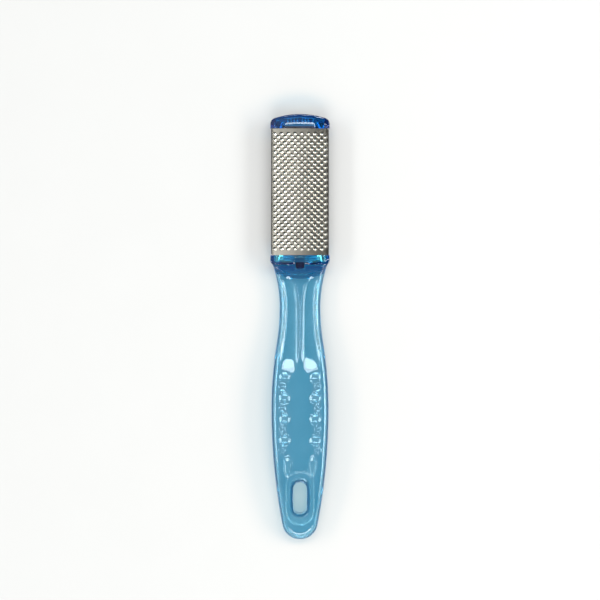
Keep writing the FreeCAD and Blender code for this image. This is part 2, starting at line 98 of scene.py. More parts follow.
def soft_min(a: Points, b: Points, blend: float) -> Points:
    """Lower of two heights with a rounded crease.

    It is the mean of the two, less half the root of their squared gap plus the squared blend.

    Args:
        a: First heights.
        b: Second heights.
        blend: Width of the rounding at the crease, in millimetres.

    Returns:
        The blended heights.
    """
    return 0.5 * (a + b) - 0.5 * np.sqrt((a - b) ** 2 + blend**2)


def soft_max(a: Points, b: Points, blend: float) -> Points:
    """Higher of two heights with a rounded crease, the mirror of soft_min."""
    return -soft_min(-a, -b, blend)


def arc_rise(radius: float, away: Points) -> Points:
    """Rise of a circle over its middle: the root of the squared radius less the squared distance from it."""
    return np.sqrt(np.maximum(radius**2 - away**2, 0.0))


def cap_radius(width: float, depth: float) -> float:
    """Radius of the circle that a chord of this width cuts to this depth."""
    return (width**2 / 4.0 + depth**2) / (2.0 * depth)


def obround_gap(x: Points, y: Points, centre_y: float, straight: float, radius: float) -> Points:
    """Distance outside an upright slot with round ends.

    It is the distance to the slot's middle line, a straight run of twice `straight`, less the radius.

    Args:
        x: Places across.
        y: Places along.
        centre_y: Middle of the slot.
        straight: Half the length of its straight sides.
        radius: Radius of its round ends.

    Returns:
        Distances in millimetres, below zero inside the slot.
    """
    beyond = np.maximum(np.abs(y - centre_y) - straight, 0.0)
    return np.hypot(x, beyond) - radius


# Meshes


class Patchwork:
    """Patches of points and faces that are welded into one closed mesh."""

    def __init__(self) -> None:
        """Start with no patches."""
        self.points: list[Points] = []
        self.faces: list[Faces] = []
        self.shade_and_wear: list[Points] = []
        self.count = 0

    def add(self, points: Points, faces: Faces, facing: Facing, shade_and_wear: Points | None = None) -> None:
        """Add a patch of points and faces.

        Args:
            points: Points of shape (n, 3), in millimetres.
            faces: Corner numbers of shape (m, corners).
            facing: Whether the faces keep their turn or are turned round.
            shade_and_wear: A value for each point that a finish may read.
        """
        turned = faces if facing is Facing.OUT else faces[:, ::-1]
        self.points.append(points)
        self.faces.append(turned + self.count)
        self.shade_and_wear.append(np.zeros(len(points)) if shade_and_wear is None else shade_and_wear)
        self.count += len(points)

    def add_grid(self, grid: Points, facing: Facing = Facing.OUT, shade_and_wear: Points | None = None) -> None:
        """Add a grid of quads.

        Args:
            grid: Points of shape (rows, columns, 3), in millimetres.
            facing: Whether the quads keep their turn or are turned round.
            shade_and_wear: A value for each point, of shape (rows, columns).
        """
        rows, columns = grid.shape[:2]
        index = np.arange(rows * columns).reshape(rows, columns)
        corners = [index[:-1, :-1], index[1:, :-1], index[1:, 1:], index[:-1, 1:]]
        quads = np.stack(corners, axis=-1).reshape(-1, 4)
        self.add(grid.reshape(-1, 3), quads, facing, None if shade_and_wear is None else shade_and_wear.reshape(-1))

    def add_mirrored(self, grid: Points, facing: Facing = Facing.OUT) -> None:
        """Add a grid and its mirror image across the middle of the tool.

        Args:
            grid: Points of shape (rows, columns, 3), in millimetres.
            facing: Whether the grid's own quads keep their turn or are turned round.
        """
        other = Facing.IN if facing is Facing.OUT else Facing.OUT
        self.add_grid(grid, facing)
        self.add_grid(grid * MIRROR, other)

    def piece(self, name: str, sharp_deg: float) -> Object:
        """Weld the patches into an object at the origin.

        Args:
            name: Name of the piece.
            sharp_deg: Edges that turn by more than this angle stay sharp.

        Returns:
            The new object, linked to the scene.
        """
        faces = [row for patch in self.faces for row in patch.tolist()]
        mesh = bpy.data.meshes.new(name)
        mesh.from_pydata(np.concatenate(self.points) * MM, [], faces)
        layer = mesh.attributes.new("shade_and_wear", "FLOAT", "POINT")
        layer.data.foreach_set("value", np.concatenate(self.shade_and_wear).astype(np.float32))
        weld(mesh)
        shade(mesh, sharp_deg)
        return linked(mesh, name)


def weld(mesh: Mesh) -> None:
    """Merge doubled points, drop faces with no area and point every face outwards.

    Args:
        mesh: The mesh, which is changed.
    """
    work = bmesh.new()
    work.from_mesh(mesh)
    bmesh.ops.remove_doubles(work, verts=work.verts, dist=WELD_M)
    bmesh.ops.dissolve_degenerate(work, edges=work.edges, dist=WELD_M)
    bmesh.ops.recalc_face_normals(work, faces=work.faces)
    work.to_mesh(mesh)
    work.free()


def shade(mesh: Mesh, sharp_deg: float) -> None:
    """Shade a mesh smooth, apart from edges that turn by more than an angle."""
    mesh.polygons.foreach_set("use_smooth", np.ones(len(mesh.polygons), dtype=bool))
    mesh.set_sharp_from_angle(angle=math.radians(sharp_deg))


def linked(mesh: Mesh, name: str) -> Object:
    """Put a mesh in the scene as an object at the origin.

    Args:
        mesh: The mesh.
        name: Name of the object.

    Returns:
        The new object.
    """
    piece = bpy.data.objects.new(name, mesh)
    bpy.context.scene.collection.objects.link(piece)
    return piece


def box_piece(low: Place, high: Place) -> Object:
    """Plain box between two corners, used only as a cutter.

    Args:
        low: Lowest corner, in millimetres.
        high: Highest corner, in millimetres.

    Returns:
        The new object, linked to the scene.
    """
    corners = np.array([[x, y, z] for x in (0, 1) for y in (0, 1) for z in (0, 1)], dtype=float)
    points = np.array(low) + corners * (np.array(high) - np.array(low))
    faces = [[0, 1, 3, 2], [4, 6, 7, 5], [0, 4, 5, 1], [2, 3, 7, 6], [0, 2, 6, 4], [1, 5, 7, 3]]
    mesh = bpy.data.meshes.new("cutter")
    mesh.from_pydata(points * MM, [], faces)
    return linked(mesh, "cutter")


def cut_boxes(piece: Object, boxes: list[tuple[Place, Place]], sharp_deg: float) -> None:
    """Cut plain boxes out of a closed piece.

    Args:
        piece: The piece, whose mesh is replaced.
        boxes: Lowest and highest corner of each box, in millimetres.
        sharp_deg: Edges that turn by more than this angle stay sharp.
    """
    cutters = [box_piece(low, high) for low, high in boxes]
    for cutter in cutters:
        step = piece.modifiers.new("cut", "BOOLEAN")
        step.operation = "DIFFERENCE"
        step.solver = "EXACT"
        step.object = cutter
    graph = bpy.context.evaluated_depsgraph_get()
    mesh = bpy.data.meshes.new_from_object(piece.evaluated_get(graph))
    piece.modifiers.clear()
    piece.data = mesh
    shade(mesh, sharp_deg)
    for cutter in cutters:
        bpy.data.objects.remove(cutter)


def give_material(piece: Object, material: Material) -> None:
    """Give a piece one material."""
    piece.data.materials.clear()
    piece.data.materials.append(material)


def report(piece: Object) -> None:
    """Log a piece's name and size.

    Args:
        piece: The piece.
    """
    corners = np.array([corner[:] for corner in piece.bound_box])
    size = (corners.max(axis=0) - corners.min(axis=0)) / MM
    LOG.info("%s: %d faces, %.2f x %.2f x %.2f mm", piece.name, len(piece.data.polygons), *size)


# Finishes


def coloured(colour: Colour) -> tuple[float, float, float, float]:
    """Colour with full cover."""
    return (*colour, 1.0)


class Nodes:
    """Short way to write a node tree."""

    def __init__(self, tree: NodeTree) -> None:
        """Keep the tree and empty it."""
        self.tree = tree
        tree.nodes.clear()

    def add(self, kind: str, inputs: dict[str | int, object] | None = None, **settings: object) -> Node:
        """Add a node, set its own properties and then the values of its inputs.

        Args:
            kind: Kind of node.
            inputs: Value of each input, by its name or number.
            settings: The node's own properties.

        Returns:
            The new node.
        """
        node = self.tree.nodes.new(kind)
        for key, value in settings.items():
            setattr(node, key, value)
        for key, value in (inputs or {}).items():
            node.inputs[key].default_value = value
        return node

    def link(self, source: NodeSocket, target: NodeSocket) -> None:
        """Join two sockets."""
        self.tree.links.new(source, target)

    def noise(self, vector: NodeSocket, cells: float, detail: float) -> NodeSocket:
        """Noise value at a place.

        Args:
            vector: Socket that gives the place.
            cells: Cells in a metre.
            detail: Octaves of finer noise.

        Returns:
            Socket of the noise's value.
        """
        node = self.add("ShaderNodeTexNoise", {"Scale": cells, "Detail": detail})
        self.link(vector, node.inputs["Vector"])
        return node.outputs["Fac"]

    def stretched(self, vector: NodeSocket, scale: Place) -> NodeSocket:
        """Place stretched along each axis.

        Args:
            vector: Socket that gives the place.
            scale: Stretch along each axis.

        Returns:
            Socket of the stretched place.
        """
        node = self.add("ShaderNodeMapping", {"Scale": scale})
        self.link(vector, node.inputs["Vector"])
        return node.outputs["Vector"]

    def ranged(self, value: NodeSocket, span: Span, out: Span = (0.0, 1.0)) -> NodeSocket:
        """Value carried from one range to another and held there.

        Args:
            value: Socket of the value.
            span: Values that give the first and the second result.
            out: The two results.

        Returns:
            Socket of the result.
        """
        ends = {"From Min": span[0], "From Max": span[1], "To Min": out[0], "To Max": out[1]}
        node = self.add("ShaderNodeMapRange", ends, clamp=True)
        self.link(value, node.inputs["Value"])
        return node.outputs["Result"]

    def math(self, operation: str, a: NodeSocket, b: NodeSocket | float) -> NodeSocket:
        """Sum, product or other joining of two values.

        Args:
            operation: Name of the sum, product or other joining.
            a: Socket of the first value.
            b: Socket of the second value, or a number.

        Returns:
            Socket of the result.
        """
        node = self.add("ShaderNodeMath", operation=operation)
        self.link(a, node.inputs[0])
        if isinstance(b, NodeSocket):
            self.link(b, node.inputs[1])
        else:
            node.inputs[1].default_value = b
        return node.outputs[0]

    def mixed(self, factor: NodeSocket, a: NodeSocket, b: NodeSocket) -> NodeSocket:
        """Colour between two colours.

        Args:
            factor: Socket of the second colour's share.
            a: Socket of the first colour.
            b: Socket of the second colour.

        Returns:
            Socket of the colour.
        """
        node = self.add("ShaderNodeMix", data_type="RGBA")
        self.link(factor, node.inputs["Factor"])
        self.link(a, node.inputs[6])
        self.link(b, node.inputs[7])
        return node.outputs[2]

    def lay(self, skin: Node, shader: Node, strength: float, depth_mm: float) -> None:
        """Lay a group's colour, roughness and height on a shader.

        Args:
            skin: The group.
            shader: The shader.
            strength: Strength of the bump that the height gives.
            depth_mm: Depth of that bump.
        """
        bump = self.add("ShaderNodeBump", {"Strength": strength, "Distance": depth_mm * MM})
        self.link(skin.outputs["Height"], bump.inputs["Height"])
        self.link(skin.outputs["Color"], shader.inputs["Base Color"])
        self.link(skin.outputs["Roughness"], shader.inputs["Roughness"])
        self.link(bump.outputs["Normal"], shader.inputs["Normal"])


def new_material(name: str) -> tuple[Material, Nodes]:
    """Make an empty material.

    Args:
        name: Name of the material.

    Returns:
        The material and its nodes.
    """
    made = bpy.data.materials.new(name)
    made.use_nodes = True
    return made, Nodes(made.node_tree)


class NodeGroups:
    """Node groups that several finishes share, each built once."""

    def __init__(self) -> None:
        """Build the groups."""
        self.moulded = self.moulded_skin()
        self.drawn = self.drawn_metal()

    @staticmethod
    def start(name: str, inputs: dict[str, float | Colour]) -> tuple[Nodes, Node, Node]:
        """Make an empty group that puts out a colour, a roughness and a height.

        Args:
            name: Name of the group.
            inputs: Starting value of each input, a number or a colour.

        Returns:
            The group's nodes, and its input and output nodes.
        """
        number, colour = "NodeSocketFloat", "NodeSocketColor"
        nodes = Nodes(bpy.data.node_groups.new(name, "ShaderNodeTree"))
        sockets = nodes.tree.interface
        for key, value in inputs.items():
            plain = isinstance(value, float)
            socket = sockets.new_socket(key, in_out="INPUT", socket_type=number if plain else colour)
            socket.default_value = value if plain else coloured(value)
        for key, kind in (("Color", colour), ("Roughness", number), ("Height", number)):
            sockets.new_socket(key, in_out="OUTPUT", socket_type=kind)
        return nodes, nodes.add("NodeGroupInput"), nodes.add("NodeGroupOutput")

    def moulded_skin(self) -> NodeTree:
        """Moulded plastic: slow flow ripples, a cloudy colour, a deeper one past a place, and rub marks.

        Returns:
            The group.
        """
        nodes, given, result = self.start(
            "moulded_skin",
            {
                "Clear": (0.9, 0.97, 1.0),
                "Cloud": (0.75, 0.92, 1.0),
                "Deep": (0.5, 0.8, 1.0),
                "Deep From": 1.0,
                "Deep Blend": 0.0004,
                "Gloss": 0.03,
            },
        )
        flow_cells, cloud_cells, rub_cells = 110.0, 45.0, 900.0
        flow_stretch, rub_stretch = (1.0, 0.35, 1.0), (9.0, 1.0, 9.0)
        cloud_span, rub_span, rub_rough = (0.35, 0.7), (0.55, 0.8), (0.0, 0.05)
        place = nodes.add("ShaderNodeTexCoord").outputs["Object"]
        flow = nodes.noise(nodes.stretched(place, flow_stretch), flow_cells, 1.0)
        cloud = nodes.ranged(nodes.noise(place, cloud_cells, 2.0), cloud_span)
        rubs = nodes.noise(nodes.stretched(place, rub_stretch), rub_cells, 3.0)
        rubbed = nodes.ranged(rubs, rub_span, rub_rough)
        split = nodes.add("ShaderNodeSeparateXYZ")
        nodes.link(place, split.inputs[0])
        past = nodes.math("SUBTRACT", split.outputs["Y"], given.outputs["Deep From"])
        deep = nodes.ranged(nodes.math("DIVIDE", past, given.outputs["Deep Blend"]), (-1.0, 1.0))
        clouded = nodes.mixed(cloud, given.outputs["Clear"], given.outputs["Cloud"])
        nodes.link(nodes.mixed(deep, clouded, given.outputs["Deep"]), result.inputs["Color"])
        nodes.link(nodes.math("ADD", rubbed, given.outputs["Gloss"]), result.inputs["Roughness"])
        nodes.link(flow, result.inputs["Height"])
        return nodes.tree

    def drawn_metal(self) -> NodeTree:
        """Drawn metal: streaks, tarnish, bright crests, and painted shade in hollows and round the teeth.

        Returns:
            The group.
        """
        nodes, given, result = self.start(
            "drawn_metal",
            {
                "Bright": (0.8, 0.78, 0.74),
                "Dull And Shade": (0.5, 0.48, 0.43),
                "Painted Dark": (0.1, 0.09, 0.08),
                "Gloss": 0.2,
            },
        )
        streak_cells, streak_stretch, patch_cells = 260.0, (14.0, 1.0, 14.0), 160.0
        foot_shade_span, crest_span, painted_shade_span = (0.02, 0.2), (0.3, 0.75), (-0.5, -0.02)
        patch_span, patch_dull = (0.4, 0.8), (0.0, 0.3)
        streak_span, streak_rough = (0.3, 0.75), (-0.03, 0.06)
        worn_span, worn_rough = (0.2, 0.9), (0.02, -0.04)
        fade = (1.0, 0.0)
        place = nodes.add("ShaderNodeTexCoord").outputs["Object"]
        streaks = nodes.noise(nodes.stretched(place, streak_stretch), streak_cells, 4.0)
        patches = nodes.noise(place, patch_cells, 3.0)
        # Per-point tone of the plate: high at the teeth's crests, which are polished as by wear, and low
        # where shade is painted: in the holes, on the side of each tooth that leans, at the bend, and in a
        # ring round each tooth's foot.
        shade_and_wear = nodes.add("ShaderNodeAttribute", attribute_name="shade_and_wear").outputs["Fac"]
        # Painted shade: a duller ring round the foot of each tooth, fading out at the crest.
        foot = nodes.math("MULTIPLY", nodes.ranged(shade_and_wear, foot_shade_span), nodes.ranged(shade_and_wear, crest_span, fade))
        # Random tarnish patches, with that painted shade added.
        tarnish = nodes.math("ADD", nodes.ranged(patches, patch_span, patch_dull), foot)
        # Painted shade: the darkest colour in the holes, at the bend and on the side of each tooth that
        # leans.
        hollow = nodes.ranged(shade_and_wear, painted_shade_span, fade)
        tarnished_and_shaded = nodes.mixed(nodes.ranged(tarnish, (0.0, 1.0)), given.outputs["Bright"], given.outputs["Dull And Shade"])
        nodes.link(nodes.mixed(hollow, tarnished_and_shaded, given.outputs["Painted Dark"]), result.inputs["Color"])
        streaked = nodes.ranged(streaks, streak_span, streak_rough)
        grain = nodes.math("ADD", streaked, nodes.ranged(shade_and_wear, worn_span, worn_rough))
        nodes.link(nodes.math("ADD", grain, given.outputs["Gloss"]), result.inputs["Roughness"])
        nodes.link(streaks, result.inputs["Height"])
        return nodes.tree


@dataclass(frozen=True)
class ClearPlastic:
    """See-through plastic whose colour deepens with the length of the way through it.

    A shadow ray goes straight through, so that the floor under it is lit through the plastic, and so does
    a ray that has been turned many times, so that light caught in a wall gets out again.
    """

    name: str
    density: float
    kept: Colour = (0.0, 0.58, 0.75)
    clear: Colour = (0.96, 0.98, 0.99)
    cloud: Colour = (0.84, 0.93, 0.955)
    deep: Colour = (0.16, 0.54, 0.7)
    deep_from_y: float = 1.0
    deep_blend: float = 0.0004
    gloss: float = 0.015
    ripple: float = 1.0
    ripple_mm: float = 0.12
    index: float = 1.5
    most_turns: float = 4.0

    def material(self, groups: NodeGroups) -> Material:
        """Build the material.

        Args:
            groups: The shared node groups.

        Returns:
            The new material.
        """
        made, nodes = new_material(self.name)
        values = {
            "Clear": coloured(self.clear),
            "Cloud": coloured(self.cloud),
            "Deep": coloured(self.deep),
            "Deep From": self.deep_from_y,
            "Deep Blend": self.deep_blend,
            "Gloss": self.gloss,
        }
        skin = nodes.add("ShaderNodeGroup", values, node_tree=groups.moulded)
        shader = nodes.add("ShaderNodeBsdfPrincipled", {"Transmission Weight": 1.0, "IOR": self.index})
        absorbed = {"Color": coloured(self.kept), "Density": self.density}
        depth = nodes.add("ShaderNodeVolumeAbsorption", absorbed)
        straight = nodes.add("ShaderNodeBsdfTransparent")
        rays = nodes.add("ShaderNodeLightPath")
        choice = nodes.add("ShaderNodeMixShader")
        out = nodes.add("ShaderNodeOutputMaterial")
        nodes.lay(skin, shader, self.ripple, self.ripple_mm)
        caught = nodes.math("GREATER_THAN", rays.outputs["Ray Depth"], self.most_turns)
        nodes.link(nodes.math("MAXIMUM", rays.outputs["Is Shadow Ray"], caught), choice.inputs[0])
        nodes.link(shader.outputs[0], choice.inputs[1])
        nodes.link(straight.outputs[0], choice.inputs[2])
        nodes.link(choice.outputs[0], out.inputs["Surface"])
        nodes.link(depth.outputs[0], out.inputs["Volume"])
        return made


@dataclass(frozen=True)
class DrawnSteel:
    """Bright metal with streaks, tarnish, and painted shade in its hollows and round its teeth."""

    name: str
    bright: Colour
    dull_and_shade: Colour
    painted_dark: Colour
    gloss: float
    grain: float = 0.6
    grain_mm: float = 0.004

    def material(self, groups: NodeGroups) -> Material:
        """Build the material.

        Args:
            groups: The shared node groups.

        Returns:
            The new material.
        """
        made, nodes = new_material(self.name)
        values = {
            "Bright": coloured(self.bright),
            "Dull And Shade": coloured(self.dull_and_shade),
            "Painted Dark": coloured(self.painted_dark),
            "Gloss": self.gloss,
        }
        metal = nodes.add("ShaderNodeGroup", values, node_tree=groups.drawn)
        shader = nodes.add("ShaderNodeBsdfPrincipled", {"Metallic": 1.0})
        out = nodes.add("ShaderNodeOutputMaterial")
        nodes.lay(metal, shader, self.grain, self.grain_mm)
        nodes.link(shader.outputs[0], out.inputs["Surface"])
        return made


@dataclass(frozen=True)
class PaleFloor:
    """Plain pale paper with the faintest mottle."""

    name: str = "pale_paper"
    light: Colour = (0.405, 0.408, 0.402)
    shade: Colour = (0.395, 0.398, 0.392)
    mottle_cells: float = 30.0
    roughness: float = 0.9
    gleam: float = 0.1

    def material(self) -> Material:
        """Build the material.

        Returns:
            The new material.
        """
        made, nodes = new_material(self.name)
        place = nodes.add("ShaderNodeTexCoord").outputs["Object"]
        mottle = nodes.noise(place, self.mottle_cells, 2.0)
        tones = {6: coloured(self.light), 7: coloured(self.shade)}
        tone = nodes.add("ShaderNodeMix", tones, data_type="RGBA")
        surface = {"Roughness": self.roughness, "Specular IOR Level": self.gleam}
        shader = nodes.add("ShaderNodeBsdfPrincipled", surface)
        out = nodes.add("ShaderNodeOutputMaterial")
        nodes.link(mottle, tone.inputs["Factor"])
        nodes.link(tone.outputs[2], shader.inputs["Base Color"])
        nodes.link(shader.outputs[0], out.inputs["Surface"])
        return made


HANDLE_BLUE = ClearPlastic(
    "handle_blue", density=285.0, deep=(0.06, 0.7, 0.92), deep_from_y=0.0285, deep_blend=0.0015
)
LID_BLUE = ClearPlastic(
    "lid_blue", density=850.0, kept=(0.0, 0.72, 0.87), deep=(0.02, 0.27, 0.57), deep_from_y=0.0972
)
LATCH_BLUE = ClearPlastic("latch_blue", density=1150.0)
# The plate's bright colour is its own. The duller one serves both tarnish and painted shade round the teeth's
# feet. The darkest one is painted shade in holes, at the bend and on the teeth's leaning sides.
SHEET_STEEL = DrawnSteel(
    "bright_sheet_steel",
    bright=(0.63, 0.615, 0.54),
    dull_and_shade=(0.26, 0.245, 0.21),
    painted_dark=(0.02, 0.019, 0.017),
    gloss=0.12,
)
PIN_WIRE = DrawnSteel(
    "drawn_wire", bright=(0.62, 0.62, 0.62), dull_and_shade=(0.45, 0.45, 0.44), painted_dark=(0.1, 0.1, 0.1), gloss=0.28
)


# Pieces


class Piece:
    """A made piece that stands for a node of the frame."""

    name: ClassVar[str]
    node: ClassVar[str]
    body: ClassVar[Body]
    slot: ClassVar[Slot]
    sharp_deg: ClassVar[float]

    def build(self) -> Object:
        """Build the piece, which each kind of piece does in its own way."""
        raise NotImplementedError

    def dress(self, piece: Object, material: Material) -> None:
        """Finish the built piece, join it to its body and let it stand for its node.

        Args:
            piece: The built piece.
            material: Its material.
        """
        give_material(piece, material)
        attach(piece, self.body.value)
        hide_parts(self.node)
        report(piece)


# Handle


@dataclass(frozen=True)
class HandleForm:
    """Outline of the handle from above and its height from the side, chains of arcs that flow together."""

    top_y: float = 30.8
    shoulder_half: float = 13.55
    neck_y: float = 10.0
    neck_half: float = 10.2
    sway_radius: float = 115.0
    grip_y: float = -41.0
    grip_half: float = 14.25
    tail_y: float = -106.3
    tail_radius: float = 8.9
    dip_y: float = 18.1
    dip_height: float = 8.8
    dip_radius: float = 140.0
    crown_y: float = -47.9
    crown_height: float = 13.5
    tail_height: float = 8.5
    side_points: int = 6000
    tail_points: int = 750

    def edge(self) -> Points:
        """Right-hand edge from the collar to the middle of the tail.

        Each arc gives x from y as its middle plus or minus its rise. The tail is a circle given by its angle.

        Returns:
            Points of shape (n, 2), the first of them those above the tail.
        """
        reach = self.top_y - self.neck_y
        rise = self.shoulder_half - self.neck_half
        shoulder_radius = (reach**2 + rise**2) / (2.0 * rise)
        drop = self.neck_y - self.grip_y
        swell = self.grip_half - self.neck_half
        grip_radius = (drop**2 + swell**2) / (2.0 * swell) - self.sway_radius
        fall = self.grip_y - self.tail_y
        heel_radius = (fall**2 - 2.0 * fall * self.tail_radius + self.grip_half**2) / (
            2.0 * (self.grip_half - self.tail_radius)
        )
        sway_y = self.neck_y - drop * self.sway_radius / (self.sway_radius + grip_radius)
        heel_x = self.grip_half - heel_radius
        tail_centre = self.tail_y + self.tail_radius
        turn = math.atan2(tail_centre - self.grip_y, -heel_x)
        heel_y = self.grip_y + heel_radius * math.sin(turn)
        y = np.linspace(self.top_y, heel_y, self.side_points)
        shoulder = self.neck_half + shoulder_radius - arc_rise(shoulder_radius, y - self.neck_y)
        sway = self.neck_half + self.sway_radius - arc_rise(self.sway_radius, y - self.neck_y)
        grip = self.grip_half - grip_radius + arc_rise(grip_radius, y - self.grip_y)
        heel = heel_x + arc_rise(heel_radius, y - self.grip_y)
        x = np.select([y > self.neck_y, y > sway_y, y > self.grip_y], [shoulder, sway, grip], heel)
        angle = np.linspace(turn, -math.pi / 2.0, self.tail_points)[1:]
        tail = np.stack([np.cos(angle), np.sin(angle)], axis=1) * self.tail_radius
        return np.concatenate([np.stack([x, y], axis=1), tail + np.array([0.0, tail_centre])])

    def half(self, y: Points) -> Points:
        """Half the width at places along the handle."""
        edge = self.edge()
        return np.interp(-y, -edge[:, 1], edge[:, 0])

    def height(self, y: Points) -> Points:
        """Height of the front face, an arc through the dip at the neck, two over the crown of the grip.

        Args:
            y: Places along.

        Returns:
            Heights of the face, without what is sunk in it or raised on it.
        """
        rise = self.crown_height - self.dip_height
        span = self.dip_y - self.crown_y
        upper = (span**2 + rise**2) / (2.0 * rise) - self.dip_radius
        fall = self.crown_height - self.tail_height
        reach = self.crown_y - self.tail_y
        lower = (reach**2 + fall**2) / (2.0 * fall)
        turn_y = self.dip_y - span * self.dip_radius / (self.dip_radius + upper)
        dip = self.dip_height + self.dip_radius - arc_rise(self.dip_radius, y - self.dip_y)
        front = self.crown_height - upper + arc_rise(upper, y - self.crown_y)
        back = self.crown_height - lower + arc_rise(lower, y - self.crown_y)
        return np.select([y > turn_y, y > self.crown_y], [dip, front], back)


@dataclass
class FrontShell(Piece):
    """Front half of the handle: flutes, finger dimples, nubs, teardrops, the hang slot and the collar."""

    name: ClassVar[str] = "front_shell_moulding"
    node: ClassVar[str] = "front_shell"
    body: ClassVar[Body] = Body.HANDLE
    slot: ClassVar[Slot] = Slot.PLASTIC
    sharp_deg: ClassVar[float] = 50.0

    form: HandleForm = field(default_factory=HandleForm)
    seam: float = 4.42
    wall: float = 1.6
    face_wall: float = 2.3
    flute_wall: float = 1.9
    least_hollow: float = 0.3
    edge_round: float = 3.5
    inner_round: float = 1.2
    inner_crease: float = 0.2
    slot_y: float = -85.2
    slot_half: float = 3.45
    slot_straight: float = 4.7
    rim_wall: float = 1.6
    rim_blend: float = 0.5
    rim_round: float = 0.5
    boss_wall: float = 0.9
    dish_half: float = 6.85
    dish_straight: float = 6.55
    dish_depth: float = 0.6
    dish_blend: float = 0.7
    collar_y: float = 49.8
    collar_radius: float = 23.5
    collar_height: float = 10.4
    collar_blend: float = 0.4
    solid_blend: float = 0.5
    solid_share: float = 0.003
    bend_y: float = 14.0
    notch_half: float = 2.6
    notch_y: Span = (28.9, 33.0)
    notch_z: Span = (3.0, 14.0)
    undercut_y: float = 28.1
    undercut_z: float = 6.0
    flute_top_y: float = 25.9
    flute_mid_y: float = 0.0
    flute_low_y: float = -22.6
    flute_ridge: float = 0.4
    flute_flare: float = 3.4
    flute_border: float = 2.0
    flute_depth: float = 1.6
    flute_crease: float = 0.45
    flare_power: int = 4
    across_power: float = 3.2
    up_power: int = 7
    down_power: int = 4
    flute_cap: float = 8.0
    dimple_y: tuple[float, ...] = (-24.6, -35.05, -45.5, -55.95)
    dimple_offset: float = 7.6
    dimple_width: float = 5.4
    dimple_depth: float = 1.15
    dimple_crease: float = 0.3
    nub_offset: float = 8.9
    nub_drop: float = 5.225
    nub_width: float = 3.4
    nub_height: float = 0.58
    nub_crease: float = 0.08
    tear_y: float = -69.6
    tear_reach: float = 5.8
    tear_offset: float = 6.1
    tear_half: float = 2.9
    tear_depth: float = 1.2
    tear_taper: float = 0.26
    tear_power: float = 1.3
    tear_cap: float = 6.0
    tear_crease: float = 0.3
    tear_row_y: float = -63.0
    fan_y: float = -70.0
    fan_rise: float = 4.6
    rows: tuple[int, ...] = (16, 32, 86, 172, 22, 18, 24, 30, 60)
    level_runs: int = 5
    bend_rounds: int = 6
    spine_points: int = 200
    round_points: int = 60
    face_points: int = 260
    wall_rows: int = 3
    tube_rows: int = 9
    outer_columns: int = 58
    inner_columns: int = 24
    turn_share: float = 0.3
    turn_cap: float = 0.5
    even_rows: int = 5
    even_columns: int = 2
    least_square: float = 0.5

    @property
    def level_rows(self) -> int:
        """Number of rows above fan_y, which run level."""
        return sum(self.rows[: self.level_runs])

    def bent(self, x: Points, level: Points, radius: float) -> Points:
        """Place along of a row that is level, bent to fit the collar.

        The row at the end of the handle is straight, the one at the collar's foot follows a circle about the
        collar's middle, the one at bend_y is straight again, and rows between take their share of the bend.

        Args:
            x: Places across.
            level: Where each row meets the middle of the tool.
            radius: Radius of the circle.

        Returns:
            Places along, of the same shape.
        """
        end = self.form.top_y
        foot = self.collar_y - radius
        arc = self.collar_y - arc_rise(radius, x)
        above = end + (arc - end) * (end - level) / (end - foot)
        below = self.bend_y + (arc - self.bend_y) * (level - self.bend_y) / (foot - self.bend_y)
        return np.where(level > foot, above, np.where(level > self.bend_y, below, level))

    def spine(self, radius: float) -> Points:
        """Where rows end: down the middle, round the right side of the slot and below it.

        Args:
            radius: Radius of the line about the slot.

        Returns:
            Points of shape (n, 2).
        """
        top = self.slot_y + self.slot_straight
        low = self.slot_y - self.slot_straight
        turn = np.linspace(math.pi / 2.0, 0.0, self.spine_points)
        upper = np.stack([radius * np.cos(turn), top + radius * np.sin(turn)], axis=1)
        lower = np.stack([radius * np.cos(turn[::-1]), low - radius * np.sin(turn[::-1])], axis=1)
        return np.concatenate([np.array([[0.0, self.form.top_y]]), upper, lower])

    def stations(self, hole_radius: float, bend_radius: float) -> tuple[Points, Points]:
        """Rows across the right half of the handle.

        Rows run level down to fan_y. From there their two ends move at their own pace, so that they end
        square on the slot and on the tail.

        Args:
            hole_radius: Radius of the line about the slot where rows end.
            bend_radius: Radius of the circle that rows follow at the collar's foot.

        Returns:
            Starts on the edge and ends at the slot. The level rows give x and the level, not yet bent.
        """
        top = self.slot_y + self.slot_straight
        low = self.slot_y - self.slot_straight

        def runs(points: Points, breaks_y: list[float]) -> Points:
            """Points at an even pace between places along a line, the last run being to its end.

            Args:
                points: Points of the line, of shape (n, 2).
                breaks_y: Where each run begins.

            Returns:
                Points of shape (rows, 2).
            """
            steps = np.hypot(*np.diff(points, axis=0).T)
            length = np.concatenate([[0.0], np.cumsum(steps)])
            marks = [float(np.interp(-y, -points[:, 1], length)) for y in breaks_y] + [float(length[-1])]
            parts = [np.linspace(a, b, n, endpoint=False) for a, b, n in zip(marks, marks[1:], self.rows)]
            at = np.concatenate([*parts, [length[-1]]])
            return np.stack([np.interp(at, length, column) for column in points.T], axis=1)

        edge = self.form.edge()
        foot = self.collar_y - bend_radius
        across = [self.form.top_y, foot, self.bend_y, self.flute_low_y, self.tear_row_y, self.fan_y]
        starts = runs(edge, [*across, top + self.fan_rise, top, low])
        ends = runs(self.spine(hole_radius), [*across, top + hole_radius, top, low])
        level = ends[: self.level_rows, 1]
        side = edge[: self.form.side_points]
        x = np.full(len(level), self.form.neck_half)
        for _ in range(self.bend_rounds):
            x = np.interp(-self.bent(x, level, bend_radius), -side[:, 1], side[:, 0])
        starts[: len(level)] = np.stack([x, level], axis=1)
        return starts, ends

